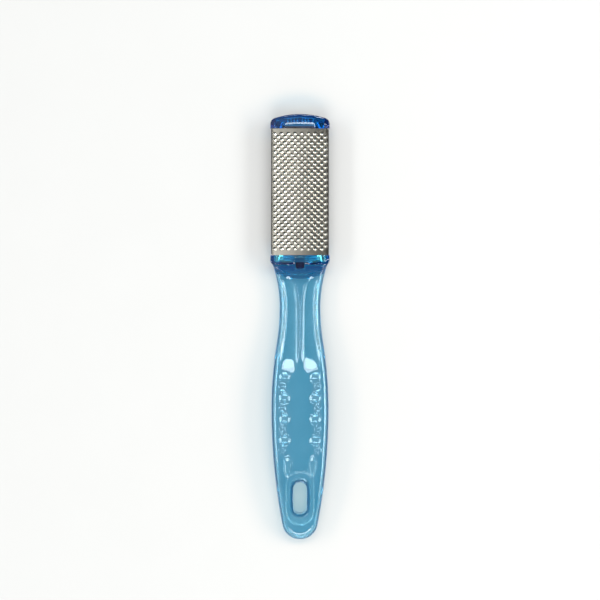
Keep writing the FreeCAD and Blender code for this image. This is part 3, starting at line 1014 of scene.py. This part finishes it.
    def flutes(self, x: Points, y: Points, drop: float) -> Points:
        """Floor of the two flutes, spoon-shaped hollows that keep their distance from ridge and edge.

        The ridge between them flares towards the collar by a power of the share along. How far out a place
        is, from 0 in the middle to 1 at the rim, is a high power of its share across plus one of its share
        along, higher still towards the collar. So the floor is nearly flat and the walls steepen to the rim.

        Args:
            x: Places across.
            y: Places along.
            drop: How far the whole floor is lowered.

        Returns:
            Heights of the floor, which climbs above the face outside the flutes.
        """
        up = np.maximum(y - self.flute_mid_y, 0.0) / (self.flute_top_y - self.flute_mid_y)
        down = np.maximum(self.flute_mid_y - y, 0.0) / (self.flute_mid_y - self.flute_low_y)
        ridge = self.flute_ridge + self.flute_flare * up**self.flare_power
        half = 0.5 * (self.form.half(y) - self.flute_border - ridge)
        across = np.abs((np.abs(x) - ridge - half) / half)
        out = across**self.across_power + up**self.up_power + down**self.down_power
        return self.form.height(y) - drop - self.flute_depth * (1.0 - np.minimum(out, self.flute_cap))

    def tears(self, x: Points, y: Points) -> Points:
        """Floor of the two teardrops, spoon-shaped hollows, wide at the top and narrow at the foot.

        The floor climbs with a power of the squared share across plus the squared share along.

        Args:
            x: Places across.
            y: Places along.

        Returns:
            Heights of the floor, which climbs above the face outside the teardrops.
        """
        along = (y - self.tear_y) / self.tear_reach
        half = self.tear_half * (1.0 - self.tear_taper + self.tear_taper * np.clip(along, -1.0, 1.0))
        across = (np.abs(x) - self.tear_offset) / half
        out = np.minimum(across**2 + along**2, self.tear_cap)
        return self.form.height(y) - self.tear_depth * (1.0 - out**self.tear_power)

    def outside(self, x: Points, y: Points, fall: Points) -> Points:
        """Height of the outside: the face, rounded down to the edge, with what is sunk in it or raised on it.

        Args:
            x: Places across.
            y: Places along.
            fall: How far the rounded edge has dropped below the face.

        Returns:
            Heights, with every crease rounded.
        """
        flat = self.form.height(y)
        face = flat - fall
        top = soft_min(face, self.flutes(x, y, 0.0), self.flute_crease)
        top = soft_min(top, self.tears(x, y), self.tear_crease)
        bowl = cap_radius(self.dimple_width, self.dimple_depth)
        nub = cap_radius(self.nub_width, self.nub_height)
        for place in self.dimple_y:
            away = (np.abs(x) - self.dimple_offset) ** 2 + (y - place) ** 2
            top = soft_min(top, flat - self.dimple_depth + away / (2.0 * bowl), self.dimple_crease)
            away = (np.abs(x) - self.nub_offset) ** 2 + (y - place + self.nub_drop) ** 2
            top = soft_max(top, face + self.nub_height - away / (2.0 * nub), self.nub_crease)
        dish = obround_gap(x, y, self.slot_y, self.dish_straight, self.dish_half)
        hole = obround_gap(x, y, self.slot_y, self.slot_straight, self.slot_half)
        sunk = ease(0.5 - dish / self.dish_blend) * ease((hole - self.rim_wall) / self.rim_blend + 0.5)
        edge = np.clip(self.rim_round - hole, 0.0, self.rim_round)
        broken = self.rim_round - arc_rise(self.rim_round, edge)
        within = self.collar_radius - np.hypot(x, y - self.collar_y)
        raised = ease(within / self.collar_blend + 0.5)
        return top - self.dish_depth * sunk - broken + (self.collar_height - fall - top) * raised

    def inside(self, x: Points, y: Points, fall: Points) -> Points:
        """Height of the inside: a thick wall below the face, thinner below the flutes, solid at the collar.

        Args:
            x: Places across.
            y: Places along.
            fall: How far the rounded edge has dropped below the face.

        Returns:
            Heights, never below the seam.
        """
        below_face = self.form.height(y) - self.face_wall - fall
        hollow = soft_min(below_face, self.flutes(x, y, self.flute_wall), self.inner_crease)
        clear = np.hypot(x, y - self.collar_y) - self.collar_radius - self.wall
        share = self.solid_share + (1.0 - self.solid_share) * ease(clear / self.solid_blend + 0.5)
        return self.seam + np.maximum(hollow - self.seam, self.least_hollow) * share

    def crowded(self, far: Points, z: Points, count: int) -> Points:
        """Columns that crowd where the profile turns.

        Each step of a fine profile weighs its length plus a share of its turn, evened out over the rows
        beside it, and the columns share out the weight evenly.

        Args:
            far: Distance from the edge along each row, finely spaced.
            z: Height at each.
            count: Number of columns.

        Returns:
            Distances of the columns, of shape (rows, count).
        """
        run = np.diff(far, axis=1)
        climb = np.diff(z, axis=1)
        length = np.hypot(run, climb)
        lean = np.arctan2(climb, run)
        turn = np.minimum(np.abs(np.diff(lean, axis=1, prepend=lean[:, :1])), self.turn_cap)
        weight = length / length.sum(axis=1, keepdims=True) + self.turn_share * turn
        beside = (self.even_rows, self.even_columns)
        padded = np.pad(weight, [(n, n) for n in beside], mode="edge")
        window = tuple(2 * n + 1 for n in beside)
        weight = np.lib.stride_tricks.sliding_window_view(padded, window).mean(axis=(-1, -2))
        total = np.concatenate([np.zeros((len(far), 1)), np.cumsum(weight, axis=1)], axis=1)
        total /= total[:, -1:]
        marks = np.linspace(0.0, 1.0, count)
        return np.stack([np.interp(marks, share, row) for share, row in zip(total, far)])

    def skin(self, outer: bool) -> Points:
        """Surface of one side of the shell.

        A profile is carried along the edge: straight up from the seam, a quarter round, then across to the
        spine.

        Args:
            outer: Whether this is the outside. The inside is set in by the wall and ends on the slot's boss.

        Returns:
            Grid of points of shape (rows, columns, 3).
        """
        inset = 0.0 if outer else self.wall
        top = self.outside if outer else self.inside
        rounding = self.edge_round if outer else self.inner_round
        columns = self.outer_columns if outer else self.inner_columns
        bend_radius = self.collar_radius + inset
        hole_radius = self.slot_half if outer else self.slot_half + self.boss_wall
        starts, ends = self.stations(hole_radius, bend_radius)
        level = self.level_rows
        true = starts.copy()
        true[:level, 1] = self.bent(starts[:level, 0], starts[:level, 1], bend_radius)
        tangent = np.gradient(true, axis=0)
        tangent /= np.linalg.norm(tangent, axis=1, keepdims=True)
        inward = np.stack([tangent[:, 1], -tangent[:, 0]], axis=1)
        way = ends - starts
        way /= np.linalg.norm(way, axis=1, keepdims=True)
        square = np.clip((way * inward).sum(axis=1), self.least_square, 1.0)[:, None]
        starts = starts + way * inset / square
        reach = np.linalg.norm(ends - starts, axis=1)[:, None]

        def lifted(far: Points) -> Points:
            """Points of the rows at these distances from the edge.

            Args:
                far: Distances of shape (rows, columns).

            Returns:
                Points of shape (rows, columns, 3).
            """
            plan = starts[:, None, :] + way[:, None, :] * far[..., None]
            plan[:level, :, 1] = self.bent(plan[:level, :, 0], plan[:level, :, 1], bend_radius)
            fall = rounding - arc_rise(rounding, np.maximum(rounding - far * square, 0.0))
            return np.concatenate([plan, top(plan[..., 0], plan[..., 1], fall)[..., None]], axis=2)

        quarter = np.linspace(0.0, math.pi / 2.0, self.round_points)
        bend = rounding * (1.0 - np.cos(quarter))[None, :] / square
        flat = bend[:, -1:] + (reach - bend[:, -1:]) * np.linspace(0.0, 1.0, self.face_points + 1)[None, 1:]
        fine = np.concatenate([bend, flat], axis=1)
        face = lifted(self.crowded(fine, lifted(fine)[..., 2], columns))
        climb = np.linspace(0.0, 1.0, self.wall_rows, endpoint=False)[None, :, None]
        foot = self.on_seam(face[:, :1])
        return np.concatenate([foot + (face[:, :1] - foot) * climb, face], axis=1)

    def on_seam(self, points: Points) -> Points:
        """Points straight below or above these, in the plane of the seam."""
        return points * PLAN + np.array([0.0, 0.0, self.seam])

    def build(self) -> Object:
        """Build the shell as one closed mesh and cut the latch's notch and its undercut.

        Returns:
            The new piece.
        """
        outer, inner = self.skin(True), self.skin(False)
        about_slot = slice(sum(self.rows[: self.level_runs + 1]), None)
        down = np.linspace(0.0, 1.0, self.tube_rows)[None, :, None]
        hole = outer[about_slot, -1][:, None, :]
        hole_foot = self.on_seam(hole)
        boss = inner[about_slot, -1][:, None, :]
        boss_foot = self.on_seam(boss)
        tube = [hole + (hole_foot - hole) * down, boss_foot + (boss - boss_foot) * down]
        end = np.concatenate([outer[0], inner[0, ::-1]])
        ring = np.arange(len(end))[None, :]
        work = Patchwork()
        work.add_mirrored(outer)
        work.add_mirrored(inner, Facing.IN)
        work.add_mirrored(np.stack([outer[:, 0], inner[:, 0]], axis=1), Facing.IN)
        work.add_mirrored(np.concatenate(tube, axis=1))
        work.add(end, ring, Facing.OUT)
        work.add(end * MIRROR, ring, Facing.IN)
        piece = work.piece(self.name, self.sharp_deg)
        half, (near, far), (low, high) = self.notch_half, self.notch_y, self.notch_z
        notch = ((-half, near, low), (half, far, high))
        undercut = ((-half, self.undercut_y, low), (half, far, self.undercut_z))
        cut_boxes(piece, [notch, undercut], self.sharp_deg)
        return piece


# Lid


@dataclass
class RaspPlate(Piece):
    """Arched sheet with turned-down sides, four corner tabs and rows of punched teeth.

    A tooth's ring has five numbers: its radius, its height, its share of the lean, its tone, and how much
    darker the side that leans is painted. A tone below zero paints shade: in the hole and on that side.
    """

    name: ClassVar[str] = "rasp_sheet"
    node: ClassVar[str] = "rasp_plate"
    body: ClassVar[Body] = Body.LID
    slot: ClassVar[Slot] = Slot.RASP
    sharp_deg: ClassVar[float] = 26.0

    crown: float = 12.0
    arch_radius: float = 58.0
    half: float = 14.375
    bend: float = 0.6
    thickness: float = 0.5
    foot: float = 6.3
    low_y: float = 36.0
    high_y: float = 99.15
    arch_points: int = 60
    bend_points: int = 8
    side_points: int = 6
    length_points: int = 106
    width_points: int = 48
    columns: int = 8
    rows: int = 39
    pitch: float = 3.43
    shift_share: float = 0.25
    row_pitch: float = 1.51
    first_y: float = 96.45
    segments: int = 12
    rings: tuple[tuple[float, float, float, float, float], ...] = (
        (1.04, 0.0, 0.0, 0.0, 0.0),
        (0.92, 0.08, 0.0, 0.0, 0.5),
        (0.72, 0.26, 0.02, 1.0, 2.0),
        (0.52, 0.43, 0.05, 1.0, 2.0),
        (0.36, 0.52, 0.1, 1.0, 1.2),
        (0.25, 0.46, 0.14, 0.2, 0.2),
        (0.22, 0.1, 0.16, -1.0, 0.0),
        (0.3, -0.3, 0.16, -1.0, 0.0),
        (1.04, -0.5, 0.0, 0.0, 0.0),
    )
    lean: Span = (-0.15, 0.99)
    painted_shade_start: float = 0.36
    painted_shade_blend: float = 0.5
    tab_inner: float = 8.625
    tab_outer: float = 12.625
    tab_length: float = 3.0
    tab_drop: float = 1.05
    tab_root: float = 0.25
    tab_points: int = 9
    # Tones below zero paint shade: on the sheet's border, and at the bend, fading down the sides.
    flank_shade_tone: float = -0.3
    bend_shade_tone: float = -0.55
    bend_shade_from: float = -0.3
    bend_shade_blend: float = 0.4
    side_fade_from: float = 0.75
    side_fade_blend: float = 0.5
    side_fade: float = 0.7
    cut_slack: float = 1e-5
    foot_slack: float = 0.002
    flank_slack: float = 0.01

    def section(self) -> tuple[Points, Points, float]:
        """Cross-section of the sheet's outside, from the middle to the foot of the right side.

        It is an arc, a small arc that turns it down, and a straight side.

        Returns:
            Points (across, up), the length along the section at each, and the length where the arch ends.
        """
        centre = self.crown - self.arch_radius
        inner_arch = self.arch_radius - self.bend
        lean = math.asin((self.half - self.bend) / inner_arch)
        bend_centre = np.array([self.half - self.bend, centre + inner_arch * math.cos(lean)])
        arch = np.linspace(0.0, lean, self.arch_points)
        over = np.stack([self.arch_radius * np.sin(arch), centre + self.arch_radius * np.cos(arch)], axis=1)
        turn = np.linspace(lean, math.pi / 2.0, self.bend_points)[1:]
        round_corner = bend_centre + self.bend * np.stack([np.sin(turn), np.cos(turn)], axis=1)
        drop = np.linspace(round_corner[-1, 1], self.foot, self.side_points)[1:]
        side = np.stack([np.full(len(drop), self.half), drop], axis=1)
        line = np.concatenate([over, round_corner, side])
        length = np.concatenate([[0.0], np.cumsum(np.hypot(*np.diff(line, axis=0).T))])
        return line, length, float(length[self.arch_points - 1])

    def onto(self, along: Points, y: Points, rise: Points) -> Points:
        """Place points of the flat sheet on the bent one.

        The length from the middle is walked along the cross-section, and the rise is added along its normal.

        Args:
            along: Length from the middle, below zero on the left.
            y: Place along the tool.
            rise: Height above the sheet's outside.

        Returns:
            Points with a last axis of three.
        """
        line, length, _ = self.section()
        walk = np.abs(along)
        tangent = np.gradient(line, length, axis=0)
        tangent /= np.linalg.norm(tangent, axis=1, keepdims=True)
        x = np.interp(walk, length, line[:, 0]) - rise * np.interp(walk, length, tangent[:, 1])
        z = np.interp(walk, length, line[:, 1]) + rise * np.interp(walk, length, tangent[:, 0])
        return np.stack([np.sign(along) * x, y, z], axis=-1)

    def teeth(self) -> Points:
        """Middles of the teeth on the flat sheet, in rows that shift by half a pitch.

        Returns:
            Points of shape (n, 2).
        """
        row, column = np.meshgrid(np.arange(self.rows), np.arange(self.columns), indexing="ij")
        shift = np.where(row % 2 == 1, self.shift_share, -self.shift_share) * self.pitch
        along = (column - (self.columns - 1) / 2.0) * self.pitch + shift
        return np.stack([along, self.first_y - self.row_pitch * row], axis=-1).reshape(-1, 2)

    def build(self) -> Object:
        """Build the plate.

        The flat sheet between the teeth's feet is cut into triangles, and each tooth is a ring profile swept
        round that joins the sheet's outside to its inside.

        Returns:
            The new piece.
        """
        _, length, arch_end = self.section()
        middles = self.teeth()
        turn = np.arange(self.segments) * (2.0 * math.pi / self.segments)
        circle = np.stack([np.cos(turn), np.sin(turn)], axis=1)
        side_y = np.linspace(self.low_y, self.high_y, self.length_points)
        end_x = np.linspace(-arch_end, arch_end, self.width_points)
        spots, triangles = self.flat_sheet(middles, circle, side_y, end_x)
        zero = np.zeros(len(spots))
        # Painted shade along the sheet's border at the bend.
        flank_shade = np.where(np.abs(spots[:, 0]) > arch_end - self.flank_slack, self.flank_shade_tone, 0.0)
        work = Patchwork()
        work.add(self.onto(*spots.T, zero), triangles, Facing.OUT, flank_shade)
        work.add(self.onto(*spots.T, zero - self.thickness), triangles, Facing.IN)
        self.add_teeth(work, middles, circle)
        self.add_sides(work, length, arch_end, side_y, end_x)
        self.add_tabs(work)
        return work.piece(self.name, self.sharp_deg)

    def flat_sheet(
        self, middles: Points, circle: Points, side_y: Points, end_x: Points
    ) -> tuple[Points, Faces]:
        """Flat sheet between the two bends, cut into triangles round the teeth's feet.

        Args:
            middles: Middles of the teeth.
            circle: Circle of radius 1, in as many points as a tooth has sides.
            side_y: Places along the two sides.
            end_x: Places across the two ends, from one bend to the other.

        Returns:
            Points of shape (n, 2) and the triangles' corner numbers.
        """
        foot_radius = self.rings[0][0]
        feet = (middles[:, None, :] + circle[None] * foot_radius).reshape(-1, 2)
        lines = (
            (np.full_like(side_y, end_x[0]), side_y),
            (end_x, np.full_like(end_x, self.high_y)),
            (np.full_like(side_y, end_x[-1]), side_y[::-1]),
            (end_x[::-1], np.full_like(end_x, self.low_y)),
        )
        border = np.concatenate([np.stack(line, axis=1)[:-1] for line in lines])
        ring = np.arange(len(border))
        loops = np.arange(len(feet)).reshape(-1, self.segments) + len(border)
        closed = [
            np.stack([line, np.roll(line, -1, axis=-1)], axis=-1).reshape(-1, 2) for line in (ring, loops)
        ]
        flat = [Vector(place) for place in np.concatenate([border, feet])]
        cut = delaunay_2d_cdt(flat, np.concatenate(closed).tolist(), [], 0, self.cut_slack)
        spots = np.array([place[:] for place in cut[0]])
        triangles = np.array([list(face) for face in cut[2]])
        centres = spots[triangles].mean(axis=1)
        nearest = np.min(np.hypot(*(centres[:, None, :] - middles[None]).transpose(2, 0, 1)), axis=1)
        off_foot = nearest > foot_radius * math.cos(math.pi / self.segments) - self.foot_slack
        return spots, triangles[(np.abs(centres[:, 0]) < end_x[-1]) & off_foot]

    def add_teeth(self, work: Patchwork, middles: Points, circle: Points) -> None:
        """Add the teeth: each ring is a circle at its own height, the inner ones moved towards the lean.

        Args:
            work: Patches of the plate.
            middles: Middles of the teeth.
            circle: Circle of radius 1.
        """
        profile = np.array(self.rings)[:, None, :]
        closed = np.concatenate([circle, circle[:1]])
        lean = np.array(self.lean)
        flat = middles[:, None, None, :] + (closed[None] * profile[..., :1] + lean * profile[..., 2:3])[None]
        rise = np.broadcast_to(profile[None, ..., 1], flat.shape[:3])
        solid = self.onto(flat[..., 0], flat[..., 1], rise)
        # Painted shade: the side of each tooth towards the lean is painted darker, and rings with a tone
        # below zero paint shade in the hole.
        back = ease((closed @ lean + self.painted_shade_start) / self.painted_shade_blend)[None, :]
        tone = profile[..., 3] - profile[..., 4] * back
        shade_and_wear = np.broadcast_to(tone[None], flat.shape[:3])
        index = np.arange(shade_and_wear.size).reshape(shade_and_wear.shape)
        corners = [index[:, :-1, :-1], index[:, :-1, 1:], index[:, 1:, 1:], index[:, 1:, :-1]]
        quads = np.stack(corners, axis=-1).reshape(-1, 4)
        work.add(solid.reshape(-1, 3), quads, Facing.OUT, shade_and_wear.reshape(-1))

    def add_sides(
        self, work: Patchwork, length: Points, arch_end: float, side_y: Points, end_x: Points
    ) -> None:
        """Add the bent sides, with painted shade at the bend, their edges and the sheet's two ends.

        Args:
            work: Patches of the plate.
            length: Length along the cross-section at each of its points.
            arch_end: Length where the arch ends.
            side_y: Places along the two sides.
            end_x: Places across the two ends, from one bend to the other.
        """
        walk = length[length >= arch_end]
        for sign, out, back in ((1.0, Facing.OUT, Facing.IN), (-1.0, Facing.IN, Facing.OUT)):
            along, y = np.meshgrid(walk * sign, side_y, indexing="ij")
            past = np.abs(along) - arch_end
            # Painted shade at the bend, fading out down the sides.
            painted_dark = ease((past - self.bend_shade_from) / self.bend_shade_blend)
            fade = self.side_fade * ease((past - self.side_fade_from) / self.side_fade_blend)
            work.add_grid(self.onto(along, y, 0.0 * y), out, self.bend_shade_tone * (painted_dark * (1.0 - fade)))
            work.add_grid(self.onto(along, y, 0.0 * y - self.thickness), back)
            foot = [self.onto(along[-1], side_y, 0.0 * side_y + rise) for rise in (0.0, -self.thickness)]
            work.add_grid(np.stack(foot), out)
        whole = np.concatenate([-walk[:0:-1], end_x, walk[1:]])
        for y in (self.low_y, self.high_y):
            level = np.full(len(whole), y)
            rim = [self.onto(whole, level, 0.0 * whole + rise) for rise in (0.0, -self.thickness)]
            work.add_grid(np.stack(rim))

    def add_tabs(self, work: Patchwork) -> None:
        """Add the corner tabs: a stepped profile, down from the sheet's end and out, across each tab.

        Args:
            work: Patches of the plate.
        """
        across = np.linspace(self.tab_inner, self.tab_outer, self.tab_points)
        root, top, under = -self.tab_root, -self.tab_drop, -self.tab_drop - self.thickness
        for end, out in ((self.low_y, -1.0), (self.high_y, 1.0)):
            back = end - out * self.thickness
            far = end + out * self.tab_length
            y = np.array([back, end, end, far, far, back, back])
            rise = np.array([root, root, top, top, under, under, root])
            for sign in (1.0, -1.0):
                along = np.broadcast_to(across[:, None] * sign, (len(across), len(y)))
                grid = self.onto(along, np.broadcast_to(y, along.shape), np.broadcast_to(rise, along.shape))
                work.add_grid(grid)
                for row in (grid[0], grid[-1]):
                    work.add_grid(np.stack([row[[0, 1, 2]], row[[5, 5, 5]]]))
                    work.add_grid(np.stack([row[[2, 3]], row[[5, 4]]]))


@dataclass
class LidMoulding(Piece):
    """Moulding of the lid: the CAD shape with its underside lifted a hair off the rim of the tray."""

    name: ClassVar[str] = "lid_moulding"
    node: ClassVar[str] = "rasp_frame"
    body: ClassVar[Body] = Body.LID
    slot: ClassVar[Slot] = Slot.PLASTIC
    sharp_deg: ClassVar[float] = 30.0

    rim_z: float = 4.5
    rim_slack: float = 0.004
    lift: float = 0.05

    def build(self) -> Object:
        """Build a welded copy of the CAD shape.

        Returns:
            The new piece.
        """
        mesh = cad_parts[self.node].data.copy()
        weld(mesh)
        points = np.empty(len(mesh.vertices) * 3)
        mesh.vertices.foreach_get("co", points)
        points = points.reshape(-1, 3)
        seated = np.abs(points[:, 2] / MM - self.rim_z) < self.rim_slack
        points[seated, 2] += self.lift * MM
        mesh.vertices.foreach_set("co", points.reshape(-1))
        shade(mesh, self.sharp_deg)
        return linked(mesh, self.name)


@dataclass
class HingePins(Piece):
    """Two short pins with rounded ends, each a profile turned about the hinge line."""

    name: ClassVar[str] = "hinge_pin_pair"
    node: ClassVar[str] = "hinge_pins"
    body: ClassVar[Body] = Body.LID
    slot: ClassVar[Slot] = Slot.PINS
    sharp_deg: ClassVar[float] = 40.0

    y: float = 101.3
    z: float = 5.3
    radius: float = 0.78
    inner: float = 7.5
    outer: float = 14.58
    round_end: float = 0.2
    end_points: int = 5
    segments: int = 24

    def build(self) -> Object:
        """Build both pins: the profile runs from the axis over a rounded end, along and back to the axis.

        Returns:
            Both pins as one piece.
        """
        turn = np.linspace(0.0, math.pi / 2.0, self.end_points)
        end_r = self.radius - self.round_end + self.round_end * np.sin(turn)
        end_x = self.round_end * (1.0 - np.cos(turn))
        x = np.concatenate([[self.inner], self.inner + end_x, (self.outer - end_x)[::-1], [self.outer]])
        r = np.concatenate([[0.0], end_r, end_r[::-1], [0.0]])
        angle = np.linspace(0.0, 2.0 * math.pi, self.segments + 1)
        across = np.broadcast_to(x[:, None], (len(x), len(angle)))
        along = self.y + r[:, None] * np.cos(angle)[None]
        up = self.z + r[:, None] * np.sin(angle)[None]
        work = Patchwork()
        work.add_mirrored(np.stack([across, along, up], axis=-1))
        return work.piece(self.name, self.sharp_deg)


# Studio


@dataclass(frozen=True)
class Lamp:
    """Soft oval panel that faces a point on the object."""

    name: str
    place: Place
    size: Span
    watts: float
    aim: Place = (0.0, 0.0, 0.0)

    def build(self) -> Object:
        """Build the lamp.

        Returns:
            The new lamp, linked to the scene.
        """
        data = bpy.data.lights.new(self.name, "AREA")
        data.shape = "ELLIPSE"
        data.size, data.size_y = self.size
        data.energy = self.watts
        lamp = bpy.data.objects.new(self.name, data)
        lamp.location = self.place
        lamp.rotation_euler = (Vector(self.aim) - Vector(self.place)).to_track_quat("-Z", "Y").to_euler()
        bpy.context.scene.collection.objects.link(lamp)
        return lamp


@dataclass(frozen=True)
class Studio:
    """Floor, lamps, sky and the camera straight above the tool, in metres."""

    floor_z: float = -0.0001
    floor_half: float = 3.0
    floor_points: int = 61
    floor_sharp_deg: float = 60.0
    sweep_from: float = 2.0
    sweep_rise: float = 0.4
    sky_left: float = 0.95
    sky_right: float = 0.14
    sky_x: Span = (-0.5, 0.3)
    sky_near: float = 1.3
    sky_far: float = 0.92
    sky_y: Span = (0.02, 0.1)
    rim_bright: float = 2.2
    rim_dim: float = 0.25
    rim_y: Span = (-0.6, 0.2)
    rim_z: Span = (0.2, 0.72)
    lens: float = 120.0
    camera_y: float = 0.01365
    camera_z: float = 1.008
    most_bounces: int = 20
    most_layers: int = 24
    lamps: tuple[Lamp, ...] = (
        Lamp("left_panel", (-0.95, 0.1, 0.75), (1.1, 0.25), 7.0),
        Lamp("right_panel", (1.05, 0.0, 0.75), (1.2, 0.45), 15.0),
        Lamp("tip_panel", (0.25, 0.61, 1.2), (1.7, 0.36), 17.0, (0.25, 0.0, 0.0)),
        Lamp("tail_panel", (0.1, -0.85, 0.95), (1.3, 0.35), 13.5, (0.1, 0.0, 0.0)),
    )

    def build(self) -> None:
        """Build the stage, the lights and the camera."""
        self.build_floor()
        for lamp in self.lamps:
            lamp.build()
        scene = bpy.context.scene
        scene.world = self.build_sky()
        data = bpy.data.cameras.new("camera")
        data.lens = self.lens
        camera = bpy.data.objects.new("camera", data)
        camera.location = (0.0, self.camera_y, self.camera_z)
        scene.collection.objects.link(camera)
        scene.camera = camera
        scene.view_settings.view_transform = "Standard"
        scene.cycles.caustics_refractive = False
        scene.cycles.caustics_reflective = False
        scene.cycles.max_bounces = self.most_bounces
        scene.cycles.transmission_bounces = self.most_bounces
        scene.cycles.transparent_max_bounces = self.most_layers

    def build_sky(self) -> World:
        """Build a soft sky: brighter on the left, dimmer to the tip, with a rim bright past the tail.

        Returns:
            The new world.
        """
        world = bpy.data.worlds.new("studio_sky")
        world.use_nodes = True
        nodes = Nodes(world.node_tree)
        split = nodes.add("ShaderNodeSeparateXYZ")
        nodes.link(nodes.add("ShaderNodeTexCoord").outputs["Generated"], split.inputs[0])
        side = nodes.ranged(split.outputs["X"], self.sky_x, (self.sky_left, self.sky_right))
        depth = nodes.ranged(split.outputs["Y"], self.sky_y, (self.sky_near, self.sky_far))
        rim = nodes.ranged(split.outputs["Y"], self.rim_y, (self.rim_bright, self.rim_dim))
        low = nodes.math("MULTIPLY", rim, nodes.ranged(split.outputs["Z"], self.rim_z, (1.0, 0.0)))
        level = nodes.math("MAXIMUM", nodes.math("MULTIPLY", side, depth), low)
        glow = nodes.add("ShaderNodeBackground")
        out = nodes.add("ShaderNodeOutputWorld")
        nodes.link(level, glow.inputs["Strength"])
        nodes.link(glow.outputs[0], out.inputs["Surface"])
        return world

    def build_floor(self) -> None:
        """Build a floor whose far edges rise with the square of the distance past sweep_from."""
        side = np.linspace(-self.floor_half, self.floor_half, self.floor_points)
        x, y = np.meshgrid(side, side, indexing="ij")
        far = np.maximum(np.hypot(x, y) - self.sweep_from, 0.0)
        work = Patchwork()
        work.add_grid(np.stack([x, y, self.floor_z + self.sweep_rise * far**2], axis=-1) / MM)
        floor = work.piece("floor", self.floor_sharp_deg)
        give_material(floor, PaleFloor().material())


def main() -> None:
    """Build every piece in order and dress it."""
    logging.basicConfig(level=logging.INFO, format="%(name)s %(message)s")
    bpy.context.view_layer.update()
    groups = NodeGroups()
    plastic, lid_plastic, latch_plastic, steel, wire = (
        finish.material(groups) for finish in (HANDLE_BLUE, LID_BLUE, LATCH_BLUE, SHEET_STEEL, PIN_WIRE)
    )
    made = ((FrontShell(), plastic), (RaspPlate(), steel), (LidMoulding(), lid_plastic), (HingePins(), wire))
    for piece, material in made:
        piece.dress(piece.build(), material)
    for node, material in {"back_shell": plastic, "release_latch": latch_plastic}.items():
        give_material(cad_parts[node], material)
        report(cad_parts[node])
    Studio().build()


if __name__ == "__main__":
    main()
